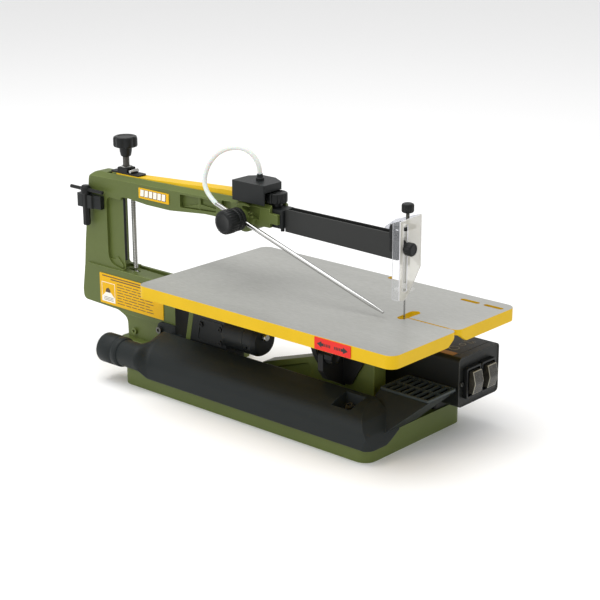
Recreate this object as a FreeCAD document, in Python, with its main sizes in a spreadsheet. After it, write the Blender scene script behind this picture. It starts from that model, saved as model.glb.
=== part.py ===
import FreeCAD, Part
import math
import os

# Bench scroll saw with a C-shaped casting, two parallel rocking arms and a tilting table.
# Frame: origin at the middle of the base's underside, +X to the operator, +Z up, millimetres.

doc = FreeCAD.newDocument("scroll_saw")
V = FreeCAD.Vector

# ---------------------------------------------------------------- driving dimensions
DIMENSIONS = [
    ("base_length", 366), ("base_width", 164), ("base_height", 25), ("base_corner", 14),
    ("bench_hole_x", 300), ("bench_hole_y", 120), ("bench_hole_r", 3.4), ("bench_hole_depth", 18),
    ("table_length", 360), ("table_width", 210), ("table_x", 52), ("table_top", 134),
    ("table_plate", 8), ("table_skirt", 14), ("table_corner", 11),
    ("blade_x", 164), ("blade_width", 2.2), ("blade_thickness", 0.6),
    ("pivot_x", -45), ("upper_pivot_z", 208), ("lower_pivot_z", 92),
    ("front_pin_rise", 2), ("rear_pin_rise", 8), ("rod_x", -244), ("knob_x", -254),
    ("casting_half", 15), ("shelf_half", 17), ("channel_half", 6), ("channel_wall", 1.5),
    ("tilt_axis_z", 114), ("pin_r", 4), ("pin_gap", 0.05),
    ("duct_y", -80), ("duct_z", 36), ("duct_r", 15.5), ("collar_r", 17.5), ("outlet_r", 14),
    ("motor_y", -26), ("motor_z", 75), ("motor_r", 19),
    ("box_x0", 106), ("box_x1", 215), ("box_y0", 28), ("box_y1", 100), ("box_z0", 37), ("box_z1", 92),
    ("crank_x", -110), ("crank_z", 60), ("crank_throw", 2.8),
    ("hose_r", 2.6), ("nozzle_r", 2.5),
]

sheet = doc.addObject("Spreadsheet::Sheet", "dimensions")
for row, (alias, value) in enumerate(DIMENSIONS, start=1):
    sheet.set("A%d" % row, alias)
    sheet.set("B%d" % row, str(value))
    sheet.setAlias("B%d" % row, alias)
doc.recompute()


def dim(alias):
    """Value of one named dimension."""
    return float(sheet.get(alias))


NODES = []

# ---------------------------------------------------------------- solid helpers


def box(x0, x1, y0, y1, z0, z1):
    """Box between two corners."""
    return Part.makeBox(x1 - x0, y1 - y0, z1 - z0, V(x0, y0, z0))


def rod(start, end, radius):
    """Round bar between two points."""
    a = V(*start)
    b = V(*end)
    return Part.makeCylinder(radius, (b - a).Length, a, b - a)


def cone(start, end, radius_start, radius_end):
    """Round bar whose radius changes from one end to the other."""
    a = V(*start)
    b = V(*end)
    return Part.makeCone(radius_start, radius_end, (b - a).Length, a, b - a)


def side_plate(outline, y0, y1):
    """Plate with an X-Z outline, from y0 to y1."""
    points = [V(x, y0, z) for x, z in outline]
    face = Part.Face(Part.makePolygon(points + [points[0]]))
    return face.extrude(V(0, y1 - y0, 0))


def cross_plate(outline, x0, x1):
    """Plate with a Y-Z outline, from x0 to x1."""
    points = [V(x0, y, z) for y, z in outline]
    face = Part.Face(Part.makePolygon(points + [points[0]]))
    return face.extrude(V(x1 - x0, 0, 0))


def flat_plate(outline, z0, z1):
    """Plate with an X-Y outline, from z0 to z1."""
    points = [V(x, y, z0) for x, y in outline]
    face = Part.Face(Part.makePolygon(points + [points[0]]))
    return face.extrude(V(0, 0, z1 - z0))


def joined(first, *others):
    """One clean solid from several that touch."""
    shape = first
    for other in others:
        shape = shape.fuse(other)
    return shape.removeSplitter()


def less(first, *others):
    """First solid with the others taken away."""
    shape = first
    for other in others:
        shape = shape.cut(other)
    return shape


def group(*solids):
    """Separate solids that make one node."""
    return Part.makeCompound(list(solids))


def edges_along(shape, axis, keep):
    """Straight edges along one axis whose middle passes the test."""
    direction = {"x": V(1, 0, 0), "y": V(0, 1, 0), "z": V(0, 0, 1)}[axis]
    found = []
    for edge in shape.Edges:
        if len(edge.Vertexes) != 2:
            continue
        run = edge.Vertexes[1].Point - edge.Vertexes[0].Point
        if run.Length < 0.5 or abs(run.normalize().dot(direction)) < 0.999:
            continue
        if keep(edge.CenterOfMass):
            found.append(edge)
    return found


def rounded(shape, radius, axis, keep=lambda middle: True):
    """Fillet the edges along one axis that pass the test."""
    return shape.makeFillet(radius, edges_along(shape, axis, keep))


def knurled(start, end, radius, grooves, depth):
    """Round knob with grooves along its rim."""
    a = V(*start)
    b = V(*end)
    axis = b - a
    knob = Part.makeCylinder(radius, axis.Length, a, axis)
    side = V(0, 0, 1) if abs(axis.z) < 0.5 * axis.Length else V(1, 0, 0)
    cutters = []
    for index in range(grooves):
        turn = FreeCAD.Rotation(axis, 360.0 * index / grooves)
        offset = turn.multVec(side) * (radius + depth)
        cutters.append(Part.makeCylinder(2 * depth, axis.Length + 2, a + offset - axis * (1 / axis.Length), axis))
    return knob.cut(Part.makeCompound(cutters))


def node(label, shape):
    """Keep a finished shape as a named sub-part."""
    item = doc.addObject("Part::Feature", label)
    item.Label = label
    item.Shape = shape
    item.Placement = FreeCAD.Placement()
    NODES.append(item)
    return item


# ---------------------------------------------------------------- base, with its sketch


def base_plane(body, role):
    """Origin plane of a body by its role."""
    for feature in body.Origin.OriginFeatures:
        if feature.Role == role:
            return feature
    raise RuntimeError("no plane " + role)


def sketch_on(body, name, role):
    """Empty sketch on one of the body's origin planes."""
    sketch = body.newObject("Sketcher::SketchObject", name)
    sketch.AttachmentSupport = (base_plane(body, role), [""])
    sketch.MapMode = "FlatFace"
    return sketch


def base_outline():
    """Plan of the base: a rounded rectangle with a bay for the motor on its far side."""
    half_x = dim("base_length") / 2
    half_y = dim("base_width") / 2
    return [
        (-half_x, -half_y), (half_x, -half_y), (half_x, half_y), (-35, half_y),
        (-35, -8), (-132, -8), (-132, half_y), (-half_x, half_y),
        (-half_x, 24), (-252, 24), (-252, -24), (-half_x, -24),
    ]


def build_base():
    """Low base casting: pad, rounded corners, bench holes and pipe relief."""
    body = doc.addObject("PartDesign::Body", "base_body")
    outline = sketch_on(body, "base_plan", "XY_Plane")
    points = base_outline()
    for index, point in enumerate(points):
        following = points[(index + 1) % len(points)]
        outline.addGeometry(Part.LineSegment(V(point[0], point[1], 0), V(following[0], following[1], 0)), False)
    doc.recompute()
    pad = body.newObject("PartDesign::Pad", "base_pad")
    pad.Profile = outline
    pad.setExpression("Length", "dimensions.base_height")
    doc.recompute()
    holes = sketch_on(body, "bench_holes", "XY_Plane")
    for sign_x in (-1, 1):
        for sign_y in (-1, 1):
            centre = V(sign_x * dim("bench_hole_x") / 2, sign_y * dim("bench_hole_y") / 2, 0)
            holes.addGeometry(Part.Circle(centre, V(0, 0, 1), dim("bench_hole_r")), False)
    doc.recompute()
    pocket = body.newObject("PartDesign::Pocket", "bench_pocket")
    pocket.Profile = holes
    pocket.setExpression("Length", "dimensions.bench_hole_depth")
    pocket.Reversed = True
    doc.recompute()
    shape = body.Shape.copy()
    shape = rounded(shape, dim("base_corner"), "z", lambda m: abs(m.x) > 180 and abs(m.y) > 80 and abs(m.x) < 190)
    shape = rounded(shape, 10, "z", lambda m: m.x < -250)
    relief = rod((-190, dim("duct_y"), dim("duct_z")), (-100, dim("duct_y"), dim("duct_z")), dim("duct_r") + 0.5)
    collar_relief = rod((-190, dim("duct_y"), dim("duct_z")), (-177, dim("duct_y"), dim("duct_z")), dim("collar_r") + 0.5)
    return less(shape, relief, collar_relief)


BASE_SHAPE = build_base()
node("base_casting", BASE_SHAPE)

# ---------------------------------------------------------------- C-shaped casting

UPRIGHT_OUTLINE = [
    (-297, 220), (-304, 213), (-307, 205), (-316, 132), (-322, 73), (-321, 63), (-315, 58), (-293, 56),
    (-262, 54), (-250, 50), (-245, 42), (-244, 25), (-160, 25), (-160, 101), (-250, 101), (-250, 196),
    (-240, 197), (-205, 194.6), (-166, 194.3), (-137, 196), (-109, 199.7), (-90, 201.4), (-66, 200),
    (-10, 201), (-10, 226), (-67, 226), (-120, 224.5),
]


def build_c_frame():
    """Upright, upper arm shell and lower shelf in one casting, open inside for the rocking arms."""
    half = dim("casting_half")
    shell = side_plate(UPRIGHT_OUTLINE, -half, half)
    shell = rounded(shell, 5, "y", lambda m: m.x < -290 and m.z > 60)
    shelf = box(-321, -160, -dim("shelf_half"), dim("shelf_half"), 58, 101)
    shelf = rounded(shelf, 6, "y", lambda m: m.x < -300 and m.z < 60)
    boss = rod((dim("pivot_x"), -20, 208), (dim("pivot_x"), half, 208), 16.5)
    tongue = box(-11, 1, -half, -11.3, 206, 217)
    shape = joined(shell, shelf, boss, tongue)
    lips = [box(-312, -160, y0, y0 + 3.5, 100, 106) for y0 in (-dim("shelf_half"), dim("shelf_half") - 3.5)]
    shape = joined(shape, *lips)
    arm_bay = side_plate([(-284, 200), (-262, 199.5), (-66, 203), (-52, 190), (-38, 190), (-30, 198),
                          (0, 198), (0, 240), (-284, 240)], -11, 11)
    boss_floor = rod((dim("pivot_x"), -11, 208), (dim("pivot_x"), 11, 208), 12.5)
    shelf_bay = box(-264, -150, -10, 10, 80, 120)
    rod_slot = box(-254, -234, -6, 6, 190, 205)
    pin_bore = rod((dim("pivot_x"), -14, 208), (dim("pivot_x"), 20, 208), dim("pin_r"))
    back_step = box(-275, -248, -half - 1, -11.5, 112, 192)
    arm_bay = arm_bay.cut(box(-60, -30, -20, 20, 180, 195.5))
    open_back = box(-271, -240, -8, half + 1, 107, 194)
    shape = less(shape, arm_bay, shelf_bay, rod_slot, pin_bore, back_step, open_back)
    pockets = [
        side_plate([(-148, 200), (-91, 204.5), (-91, 217), (-148, 215.5)], -half - 1, -12.2),
        side_plate([(-82, 208), (-68, 214), (-68, 221), (-82, 220)], -half - 1, -12.2),
        side_plate([(-27, 208), (-27, 221), (-48, 221), (-38, 208)], -half - 1, -12.2),
    ]
    stud = rod((dim("pivot_x"), -18, 208), (dim("pivot_x"), -25.6, 208), 3)
    return joined(less(shape, *pockets), stud)


node("c_frame_casting", build_c_frame())
node("front_pillar", less(side_plate([(-24, 25), (-24, 44), (56, 69.5), (62, 72), (137, 79), (137, 25)], -15, 5),
                          box(82, 101, -16, 6, 54, 80)))


def cap_screw(position, axis, radius, height):
    """Round screw head with a hexagon socket."""
    a = V(*position)
    direction = V(*axis)
    head = Part.makeCylinder(radius, height, a, direction)
    socket = Part.makeCylinder(radius * 0.5, height * 0.5, a + direction * (height * 0.5), direction)
    return head.cut(socket)


FRAME_SCREW_SPOTS = ((-232, 34), (-176, 34), (-10, 32), (126, 32))
GEARBOX_SCREW_SPOTS = ((-96, 78), (-66, 78), (-66, 62))
FRAME_SCREWS = [cap_screw((x, -15, z), (0, -1, 0), 4, 3) for x, z in FRAME_SCREW_SPOTS]
GEARBOX_SCREWS = [cap_screw((x, -37.5, z), (0, -1, 0), 3, 2) for x, z in GEARBOX_SCREW_SPOTS]
CHANNEL_SCREWS = [cap_screw((1.5, y, 201), (0, 0, -1), 2.2, 3) for y in (-7, 7)]
node("frame_screws", group(*(FRAME_SCREWS + GEARBOX_SCREWS + CHANNEL_SCREWS)))
node("upright_strip", box(-250, -248.6, -11.4, -8.1, 118, 194))
node("name_plate", box(-217, -166.5, -15.9, -15, 201, 213.5))
node("instruction_plate", box(-290, -179, -17.8, -17, 59, 97))

# ---------------------------------------------------------------- fixed guide channel and its root


def build_channel():
    """Open-topped U channel over the front half of the upper arm."""
    half = dim("channel_half")
    wall = dim("channel_wall")
    outer = side_plate([(4, 197.6), (158, 194.5), (158, 222.1), (4, 222.8)], -half, half)
    inner = side_plate([(3, 199.0), (159, 195.9), (159, 230), (3, 230)], -half + wall, half - wall)
    return less(outer, inner)


def build_channel_root():
    """Block that clamps the channel in the casting's front end."""
    block = box(-13, 4, -10.9, 10.9, 201, 221.5)
    return less(block, box(-20, 10, -4.6, 4.6, 202.8, 219))


node("guide_channel", build_channel())
node("channel_root_block", build_channel_root())


def build_pump_housing():
    """Faceted air pump housing with an overhang above the clamp knob."""
    full = flat_plate([(-61, -21), (-13, -21), (-13, 8), (-31, 18), (-50, 18), (-61, 6)], 226, 248)
    knob_bay = joined(box(-27.5, 0, -13.8, 30, 220, 239.5))
    shape = less(full, knob_bay)
    hollow = flat_plate([(-58, -18), (-31, -18), (-31, 14), (-48, 14), (-58, 4)], 225, 244)
    return less(shape, hollow)


node("pump_housing", build_pump_housing())
PORT = (-36, -2)
node("pump_port", joined(rod((PORT[0], PORT[1], 248), (PORT[0], PORT[1], 251), 4.6),
                         rod((PORT[0], PORT[1], 251), (PORT[0], PORT[1], 255), 3.4)))
node("channel_knob", joined(knurled((-13.2, 0, 226.6), (-13.2, 0, 238), 12, 14, 0.7),
                            rod((-13.2, 0, 222), (-13.2, 0, 227), 6)))

# ---------------------------------------------------------------- upper rocking arm


def build_upper_arm():
    """Deep rear beam, pivot hub and slim front bar in one lever."""
    z = dim("upper_pivot_z")
    rear = side_plate([(-270, 210.3), (-66, 205.5), (-58, 204), (-58, 222), (-64, 222), (-64.5, 231.5),
                       (-85, 231), (-226, 222.5), (-270, 222.5)], -8, 8)
    hub = rod((dim("pivot_x"), -8, z), (dim("pivot_x"), 8, z), 10)
    waist = side_plate([(-60, 203), (-34, 203), (-34, 214), (-60, 220)], -8, 8)
    bar = side_plate([(-40, 203.5), (-20, 205.5), (168, 207.4), (168, 212.6), (-20, 213), (-40, 214)], -3.2, 3.2)
    lever = joined(rear, hub, waist, bar)
    bore = rod((dim("pivot_x"), -10, z), (dim("pivot_x"), 10, z), dim("pin_r") + dim("pin_gap"))
    rod_fork = box(-251, -236, -4, 4, 200, 222)
    blade_fork = box(158, 170, -1.6, 1.6, 200, 220)
    return less(lever, bore, rod_fork, blade_fork, *UPPER_PINS)


FRONT_Z = dim("upper_pivot_z") + dim("front_pin_rise")
REAR_Z = dim("upper_pivot_z") + dim("rear_pin_rise")
LOW_FRONT_Z = dim("lower_pivot_z") + dim("front_pin_rise")
LOW_REAR_Z = dim("lower_pivot_z") + dim("rear_pin_rise")
UPPER_PINS = [rod((dim("rod_x"), -8, REAR_Z), (dim("rod_x"), 8, REAR_Z), 1.5),
              rod((dim("blade_x"), -3.2, FRONT_Z), (dim("blade_x"), 3.2, FRONT_Z), 1.2)]
LOWER_PINS = [rod((dim("rod_x"), -5, LOW_REAR_Z), (dim("rod_x"), 5, LOW_REAR_Z), 1.5),
              rod((dim("blade_x"), -3.2, LOW_FRONT_Z), (dim("blade_x"), 3.2, LOW_FRONT_Z), 1.2)]
node("upper_arm_beam", build_upper_arm())
node("upper_pivot_pin", rod((dim("pivot_x"), -14, 208), (dim("pivot_x"), 17, 208), dim("pin_r")))

# ---------------------------------------------------------------- blade tension at the rear end


def build_saddle():
    """Bent bracket that carries the tension spindle on the rear beam."""
    plate = box(-274, -226, -7, 7, 222.6, 224.4)
    ears = [box(-262, -246, y0, y0 + 2, 224.4, 230) for y0 in (-7, 5)]
    bridge = box(-262, -246, -7, 7, 228.4, 230)
    shape = joined(plate, bridge, *ears)
    return less(shape, rod((dim("knob_x"), 0, 220), (dim("knob_x"), 0, 240), 4.3))


def build_tension_knob():
    """Lobed knob on a collar, on its threaded spindle."""
    x = dim("knob_x")
    head = knurled((x, 0, 254.5), (x, 0, 267), 14.5, 7, 1.2)
    collar = cone((x, 0, 243), (x, 0, 254.5), 6, 7.6)
    return joined(head, collar, rod((x, 0, 225), (x, 0, 246), 4))


node("tension_saddle", group(build_saddle(), rod((-240, -11, 226.7), (-240, 9, 226.7), 2.2)))
node("tension_knob", build_tension_knob())


def pinned_eye(x, z, half_y, radius, hole):
    """Flat eye around a cross pin."""
    eye = rod((x, -half_y, z), (x, half_y, z), radius)
    return less(eye, rod((x, -half_y - 1, z), (x, half_y + 1, z), hole))


def build_tension_rod():
    """Long tie rod with an eye at each end."""
    x = dim("rod_x")
    bar = rod((x, 0, LOW_REAR_Z + 3.5), (x, 0, REAR_Z - 3.5), 1.5)
    coil = rod((x, 0, 107), (x, 0, 200), 2.9)
    eyes = [pinned_eye(x, z, 2.0, 4.2, 1.9) for z in (LOW_REAR_Z, REAR_Z)]
    holes = [rod((x, -4, z), (x, 4, z), 1.9) for z in (LOW_REAR_Z, REAR_Z)]
    return less(joined(bar, coil, *eyes), *holes)


node("tension_rod", build_tension_rod())
node("upper_arm_pins", group(*UPPER_PINS))

# ---------------------------------------------------------------- lower rocking arm


def build_lower_arm():
    """Lower lever, parallel to the upper one, under the table."""
    z = dim("lower_pivot_z")
    bar = side_plate([(-253, 95.5), (-45, 87), (168, 90.4), (168, 97.6), (-45, 97), (-253, 104.5)], -5, 5)
    hub = rod((dim("pivot_x"), -5, z), (dim("pivot_x"), 5, z), 8.5)
    nose = box(153, 175, -8, 8, 80, 110)
    lever = joined(bar, hub)
    lever = less(lever, nose)
    wide = side_plate([(-262, 97), (-166, 94.2), (-166, 102.3), (-262, 104.5)], -9, 9)
    lever = joined(lever, box(150, 168, -3.2, 3.2, 90.6, 97.4), wide)
    bore = rod((dim("pivot_x"), -10, z), (dim("pivot_x"), 10, z), dim("pin_r") + dim("pin_gap"))
    rod_fork = box(-256, -236, -2.4, 2.4, 90, 110)
    blade_fork = box(158, 172, -1.6, 1.6, 85, 105)
    return less(lever, bore, rod_fork, blade_fork, *LOWER_PINS)


node("lower_arm_beam", build_lower_arm())
node("lower_arm_pins", group(*LOWER_PINS))
node("lower_pivot_pin", rod((dim("pivot_x"), -13, 92), (dim("pivot_x"), 13, 92), dim("pin_r")))


def build_lower_pivot_bracket():
    """Two cheeks that carry the lower pivot pin, on a block behind the gearbox."""
    cheeks = [box(-57, -33, y0, y0 + 4, 76, 101) for y0 in (-12, 8)]
    floor = box(-57.2, -33, -12, 12, 74, 79)
    post = box(-71, -57, -9, 12, 60, 84.4)
    shape = joined(post, floor, *cheeks)
    return less(shape, rod((dim("pivot_x"), -20, 92), (dim("pivot_x"), 20, 92), dim("pin_r")))


# ---------------------------------------------------------------- blade and its clamps


def build_upper_clamp():
    """Flat hanger on the upper pin with a clamp block for the blade."""
    x = dim("blade_x")
    eye = rod((x, -1.2, FRONT_Z), (x, 1.2, FRONT_Z), 3.4)
    neck = box(x - 3, x + 3, -1.2, 1.2, 200, FRONT_Z)
    block = box(x - 5, x + 4, -2.6, 2.6, 190, 203)
    shape = joined(eye, neck, block)
    return less(shape, rod((x, -3, FRONT_Z), (x, 3, FRONT_Z), 1.55))


def build_lower_clamp():
    """Flat link on the lower pin with a clamp block for the blade."""
    x = dim("blade_x")
    eye = rod((x, -1.2, LOW_FRONT_Z), (x, 1.2, LOW_FRONT_Z), 3.4)
    neck = box(x - 3, x + 3, -1.2, 1.2, LOW_FRONT_Z, 103)
    block = box(x - 5, x + 4, -2.6, 2.6, 101, 111)
    shape = joined(eye, neck, block)
    return less(shape, rod((x, -3, LOW_FRONT_Z), (x, 3, LOW_FRONT_Z), 1.55))


BLADE_HALF = dim("blade_width") / 2
node("saw_blade", box(dim("blade_x") - BLADE_HALF, dim("blade_x") + BLADE_HALF,
                      -dim("blade_thickness") / 2, dim("blade_thickness") / 2, 111, 190))
node("upper_blade_clamp", build_upper_clamp())
node("lower_blade_clamp", build_lower_clamp())
node("clamp_screws", group(cap_screw((dim("blade_x"), -2.6, 196), (0, -1, 0), 1.9, 1.0),
                           cap_screw((dim("blade_x"), -2.6, 106), (0, -1, 0), 2.2, 1.6)))

# ---------------------------------------------------------------- drive under the table


def build_gearbox():
    """Sloping gearbox housing that stands on the base's near rail."""
    low = side_plate([(-120.7, 25), (-57.2, 25), (-57.2, 84), (-108.9, 84)], -37.5, -9)
    tall = side_plate([(-109.1, 83), (-57.2, 83), (-57.2, 90), (-107.7, 90)], -37.5, -12)
    shape = rounded(joined(low, tall), 5, "x", lambda m: m.y < -36 and m.z > 80)
    bearing = box(-119, -94, -9.5, 16.5, 44, 76)
    bore = rod((dim("crank_x"), -9.5, dim("crank_z")), (dim("crank_x"), 20, dim("crank_z")), 5.05)
    return less(joined(shape, bearing), bore)


node("lower_pivot_bracket", build_lower_pivot_bracket())
node("gearbox_housing", build_gearbox())
node("motor_bracket", side_plate([(-128.2, 25), (-121.1, 25), (-108.1, 90), (-115.2, 90)], -37.5, -12))


def build_motor():
    """Round motor can with a rounded end cap and a short bright shaft end."""
    y = dim("motor_y")
    z = dim("motor_z")
    can = rod((-57, y, z), (-14, y, z), dim("motor_r"))
    cap = cone((-14, y, z), (-9, y, z), dim("motor_r"), dim("motor_r") - 3)
    can = less(joined(can, cap), box(-60, -30, -12.4, 0, 20, 110))
    return joined(can, rod((-9.5, y, 79), (-5, y, 79), 4))


node("motor_body", build_motor())


def build_crank():
    """Crank disc on the far side of the gearbox with its eccentric pin."""
    x = dim("crank_x")
    z = dim("crank_z")
    disc = rod((x, 17, z), (x, 21, z), 11)
    shaft = rod((x, -8, z), (x, 17, z), 5)
    pin = rod((x, 21, z + dim("crank_throw")), (x, 30, z + dim("crank_throw")), 3)
    return joined(disc, shaft, pin)


def build_yoke():
    """Slotted yoke that hangs from the lower arm around the crank pin."""
    x = dim("crank_x")
    z = dim("crank_z")
    plate = box(x - 13, x + 13, 24, 28, z - 16, 104)
    window = box(x - 7.5, x + 7.5, 23, 29, z - 9.8, z + 9.8)
    stem = box(x - 6, x + 6, 5, 24, 90, 99)
    return less(joined(plate, stem), window)


node("crank_disc", build_crank())
node("drive_yoke", build_yoke())

# ---------------------------------------------------------------- table


def build_table():
    """Cast table with a skirt, a blade opening, a front slit and insert slots."""
    x0 = dim("table_x") - dim("table_length") / 2
    x1 = dim("table_x") + dim("table_length") / 2
    half = dim("table_width") / 2
    top = dim("table_top")
    block = box(x0, x1, -half, half, top - dim("table_skirt"), top)
    block = rounded(block, dim("table_corner"), "z")
    hollow = box(x0 + 5, x1 - 5, -half + 5, half - 5, top - dim("table_skirt") - 1, top - dim("table_plate"))
    hollow = rounded(hollow, dim("table_corner") - 4, "z")
    shape = less(block, hollow)
    slit = box(dim("blade_x"), x1 + 1, -1.2, 1.2, 100, 140)
    eye = flat_plate([(dim("blade_x") - 5, -6), (dim("blade_x"), -10), (dim("blade_x") + 5, -6),
                      (dim("blade_x") + 6, 20), (dim("blade_x"), 25), (dim("blade_x") - 6, 20)], 100, 140)
    mouth = flat_plate([(x1 - 4, -1.2), (x1 + 1, -6.5), (x1 + 1, 6.5), (x1 - 4, 1.2)], 100, 140)
    notch = cross_plate([(-3.5, 129), (3.5, 129), (17, 119), (-17, 119)], x1 - 6, x1 + 1)
    slots = [box(172, 196, 85, 91, top - 3, 140), box(202, 226, 85, 91, top - 3, 140), box(64, 80, 96, 106, top - 3, 140)]
    return less(shape, slit, eye, mouth, notch, *slots)


def sector(radius_in, radius_out, low, high, x0, x1):
    """Ring sector around the tilt axis, angles in degrees from +Y toward +Z."""
    z = dim("tilt_axis_z")
    steps = 14
    outline = []
    for step in range(steps + 1):
        angle = math.radians(low + (high - low) * step / steps)
        outline.append((radius_out * math.cos(angle), z + radius_out * math.sin(angle)))
    for step in range(steps, -1, -1):
        angle = math.radians(low + (high - low) * step / steps)
        outline.append((radius_in * math.cos(angle), z + radius_in * math.sin(angle)))
    return cross_plate(outline, x0, x1)


def build_trunnion():
    """Quadrant with an arc slot and hub, hung under the table across its length."""
    z = dim("tilt_axis_z")
    flange = box(84, 90, -57, 20, 119, 126)
    hub = rod((84, 0, z), (90, 0, z), 9)
    web = box(84, 90, -9, 9, z, 122)
    arm = sector(31, 58, 168, 223, 84, 90)
    slot = sector(46.8, 53.2, 174, 219, 83, 91)
    bore = rod((80, 0, z), (95, 0, z), 3 + dim("pin_gap"))
    shape = joined(flange, hub, web, arm)
    return less(shape, slot, bore)


def build_rear_trunnion():
    """Plain ear on the table's rear pivot."""
    z = dim("tilt_axis_z")
    shape = joined(box(-78, -72, -20, 20, 119, 126), rod((-78, 0, z), (-72, 0, z), 9), box(-78, -72, -9, 9, z, 122))
    return less(shape, rod((-80, 0, z), (-70, 0, z), 3 + dim("pin_gap")))


def build_tilt_bracket():
    """Fixed plate on the pillar with the front tilt pin's bore and the lock stud's bore."""
    z = dim("tilt_axis_z")
    plate = cross_plate([(-52, 72), (-44, 61), (-37.5, 58), (-15.4, 46), (-15.4, 80), (16, 80), (16, 116), (8, 122), (-8, 122),
                         (-46, 98), (-52, 90)], 91, 98)
    plate = less(plate, box(90, 99, -7, 7, 79, 106.5))
    foot = box(91, 98, -15, 16, 73, 81)
    shape = less(joined(plate, foot), box(90, 99, -7, 7, 80, 106.5))
    return less(shape, rod((88, 0, z), (100, 0, z), 3), rod((88, -43.3, z - 25), (100, -43.3, z - 25), 2.6))


def build_rear_post():
    """Arch over the lower arm that carries the rear tilt pin."""
    z = dim("tilt_axis_z")
    arch = joined(box(-71, -64, -11, -7.5, 90, 119), box(-71, -64, 7.5, 12, 84.5, 119), box(-71, -64, -11, 12, 104, 119))
    return less(arch, rod((-75, 0, z), (-60, 0, z), 3))


node("table_casting", build_table())
node("table_trunnions", group(build_trunnion(), build_rear_trunnion()))
node("tilt_bracket", build_tilt_bracket())
node("rear_tilt_post", build_rear_post())
node("tilt_pins", group(rod((83.5, 0, 114), (98, 0, 114), 3), rod((-78.5, 0, 114), (-64, 0, 114), 3)))
node("arrow_sign", box(133, 180, -105.9, -105, 120.5, 133.2))
node("tilt_lock_knob", joined(knurled((98.6, -43.3, 89), (109, -43.3, 89), 9, 8, 1.0),
                              rod((84.5, -43.3, 89), (98.6, -43.3, 89), 2.5), rod((80.5, -43.3, 89), (83.5, -43.3, 89), 5),
                              rod((83, -43.3, 89), (85, -43.3, 89), 2.5)))

# ---------------------------------------------------------------- front end: bracket, hold-down, guard


def build_front_bracket():
    """Bracket on the channel's front end, bridging over the blade clamp."""
    riser = box(150, 158, 6, 8.5, 200, 232)
    bridge = box(150, 172.4, -9.5, 8.5, 228.5, 232)
    cheek = box(146, 158, -9.5, -6, 204, 220)
    lug = box(156, 172.4, -16.5, -9.1, 206, 219)
    shape = joined(riser, bridge, joined(cheek, lug), box(150, 156, -9.5, -6.2, 218, 230))
    rod_bore = rod((167.5, -6.3, 225), (167.5, -6.3, 240), 2.55)
    knob_bore = rod((160, -13, 212), (175, -13, 212), 2)
    return less(shape, rod_bore, knob_bore, rod((166, 0, 225), (166, 0, 240), 2))


def build_foot():
    """Forked pressure foot around the blade."""
    plate = box(156.5, 173, -11, 7, 162.5, 165.5)
    plate = rounded(plate, 4, "z", lambda m: m.y < 0)
    slot = box(155, 168.5, -1.6, 1.6, 160, 168)
    return less(plate, slot)


def build_guard():
    """Clear guard bent from one sheet: near strip, front panel with a slot, and far wing."""
    front = cross_plate([(-22, 158), (-14, 157), (-8, 160), (13, 188), (13, 243), (-22, 241)], 173, 174.2)
    front = less(front, box(170, 176, -16.5, -9.5, 166, 237))
    near = side_plate([(164, 158), (174.2, 158), (174.2, 241), (164, 241)], -22, -20.8)
    wing = side_plate([(174.2, 188), (174.2, 243), (140, 231), (128, 220), (160, 196)], 11.8, 13)
    return joined(front, near, wing)


node("front_bracket", build_front_bracket())
node("hold_down_rod", rod((167.5, -6.3, 165.5), (167.5, -6.3, 235), 2.5))
GUARD_CLIP = less(box(164.5, 173, -9.6, -3.2, 168, 174), rod((167.5, -6.3, 165), (167.5, -6.3, 190), 2.5))
node("hold_down_foot", group(build_foot(), GUARD_CLIP))
node("blade_guard", build_guard())
node("top_knob", joined(knurled((166, 0, 245.5), (166, 0, 255), 6.5, 10, 0.5), rod((166, 0, 228.5), (166, 0, 245.5), 1.95)))
node("guard_knob", joined(knurled((175, -13, 212), (184.5, -13, 212), 7, 12, 0.4), rod((162, -13, 212), (175, -13, 212), 1.95)))

# ---------------------------------------------------------------- air nozzle

NOZZLE_REAR = (-74, -31.7, 220.8)
NOZZLE_TIP = (150, -17, 139.6)


def along(start, end, share):
    """Point part of the way from start to end."""
    return tuple(a + (b - a) * share for a, b in zip(start, end))


def build_nozzle():
    """Straight air tube with a tapered tip."""
    neck = along(NOZZLE_REAR, NOZZLE_TIP, 0.93)
    tube = rod(NOZZLE_REAR, neck, dim("nozzle_r"))
    tip = cone(neck, NOZZLE_TIP, dim("nozzle_r"), 1.2)
    bore = rod(NOZZLE_REAR, along(NOZZLE_REAR, NOZZLE_TIP, 0.1), 1.6)
    return less(joined(tube, tip), bore)


def build_ring():
    """Ribbed clamp ring that holds the tube and turns on the boss."""
    ring = knurled((-45, -20.6, 208), (-45, -37.4, 208), 13, 20, 0.4)
    tube = rod(NOZZLE_REAR, NOZZLE_TIP, dim("nozzle_r"))
    return less(ring, tube, rod((-45, -20, 208), (-45, -26.2, 208), 3.05))


node("nozzle_tube", build_nozzle())
node("nozzle_clamp_ring", build_ring())
node("nozzle_knob", joined(knurled((-45, -38, 208), (-45, -52, 208), 13.5, 18, 0.6)))

HOSE_PATH = [
    (-36, -2, 255), (-36, -2, 268), (-54, -8, 284), (-84, -16, 277), (-99, -23, 254),
    (-95, -29.5, 231), NOZZLE_REAR,
]


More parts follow.
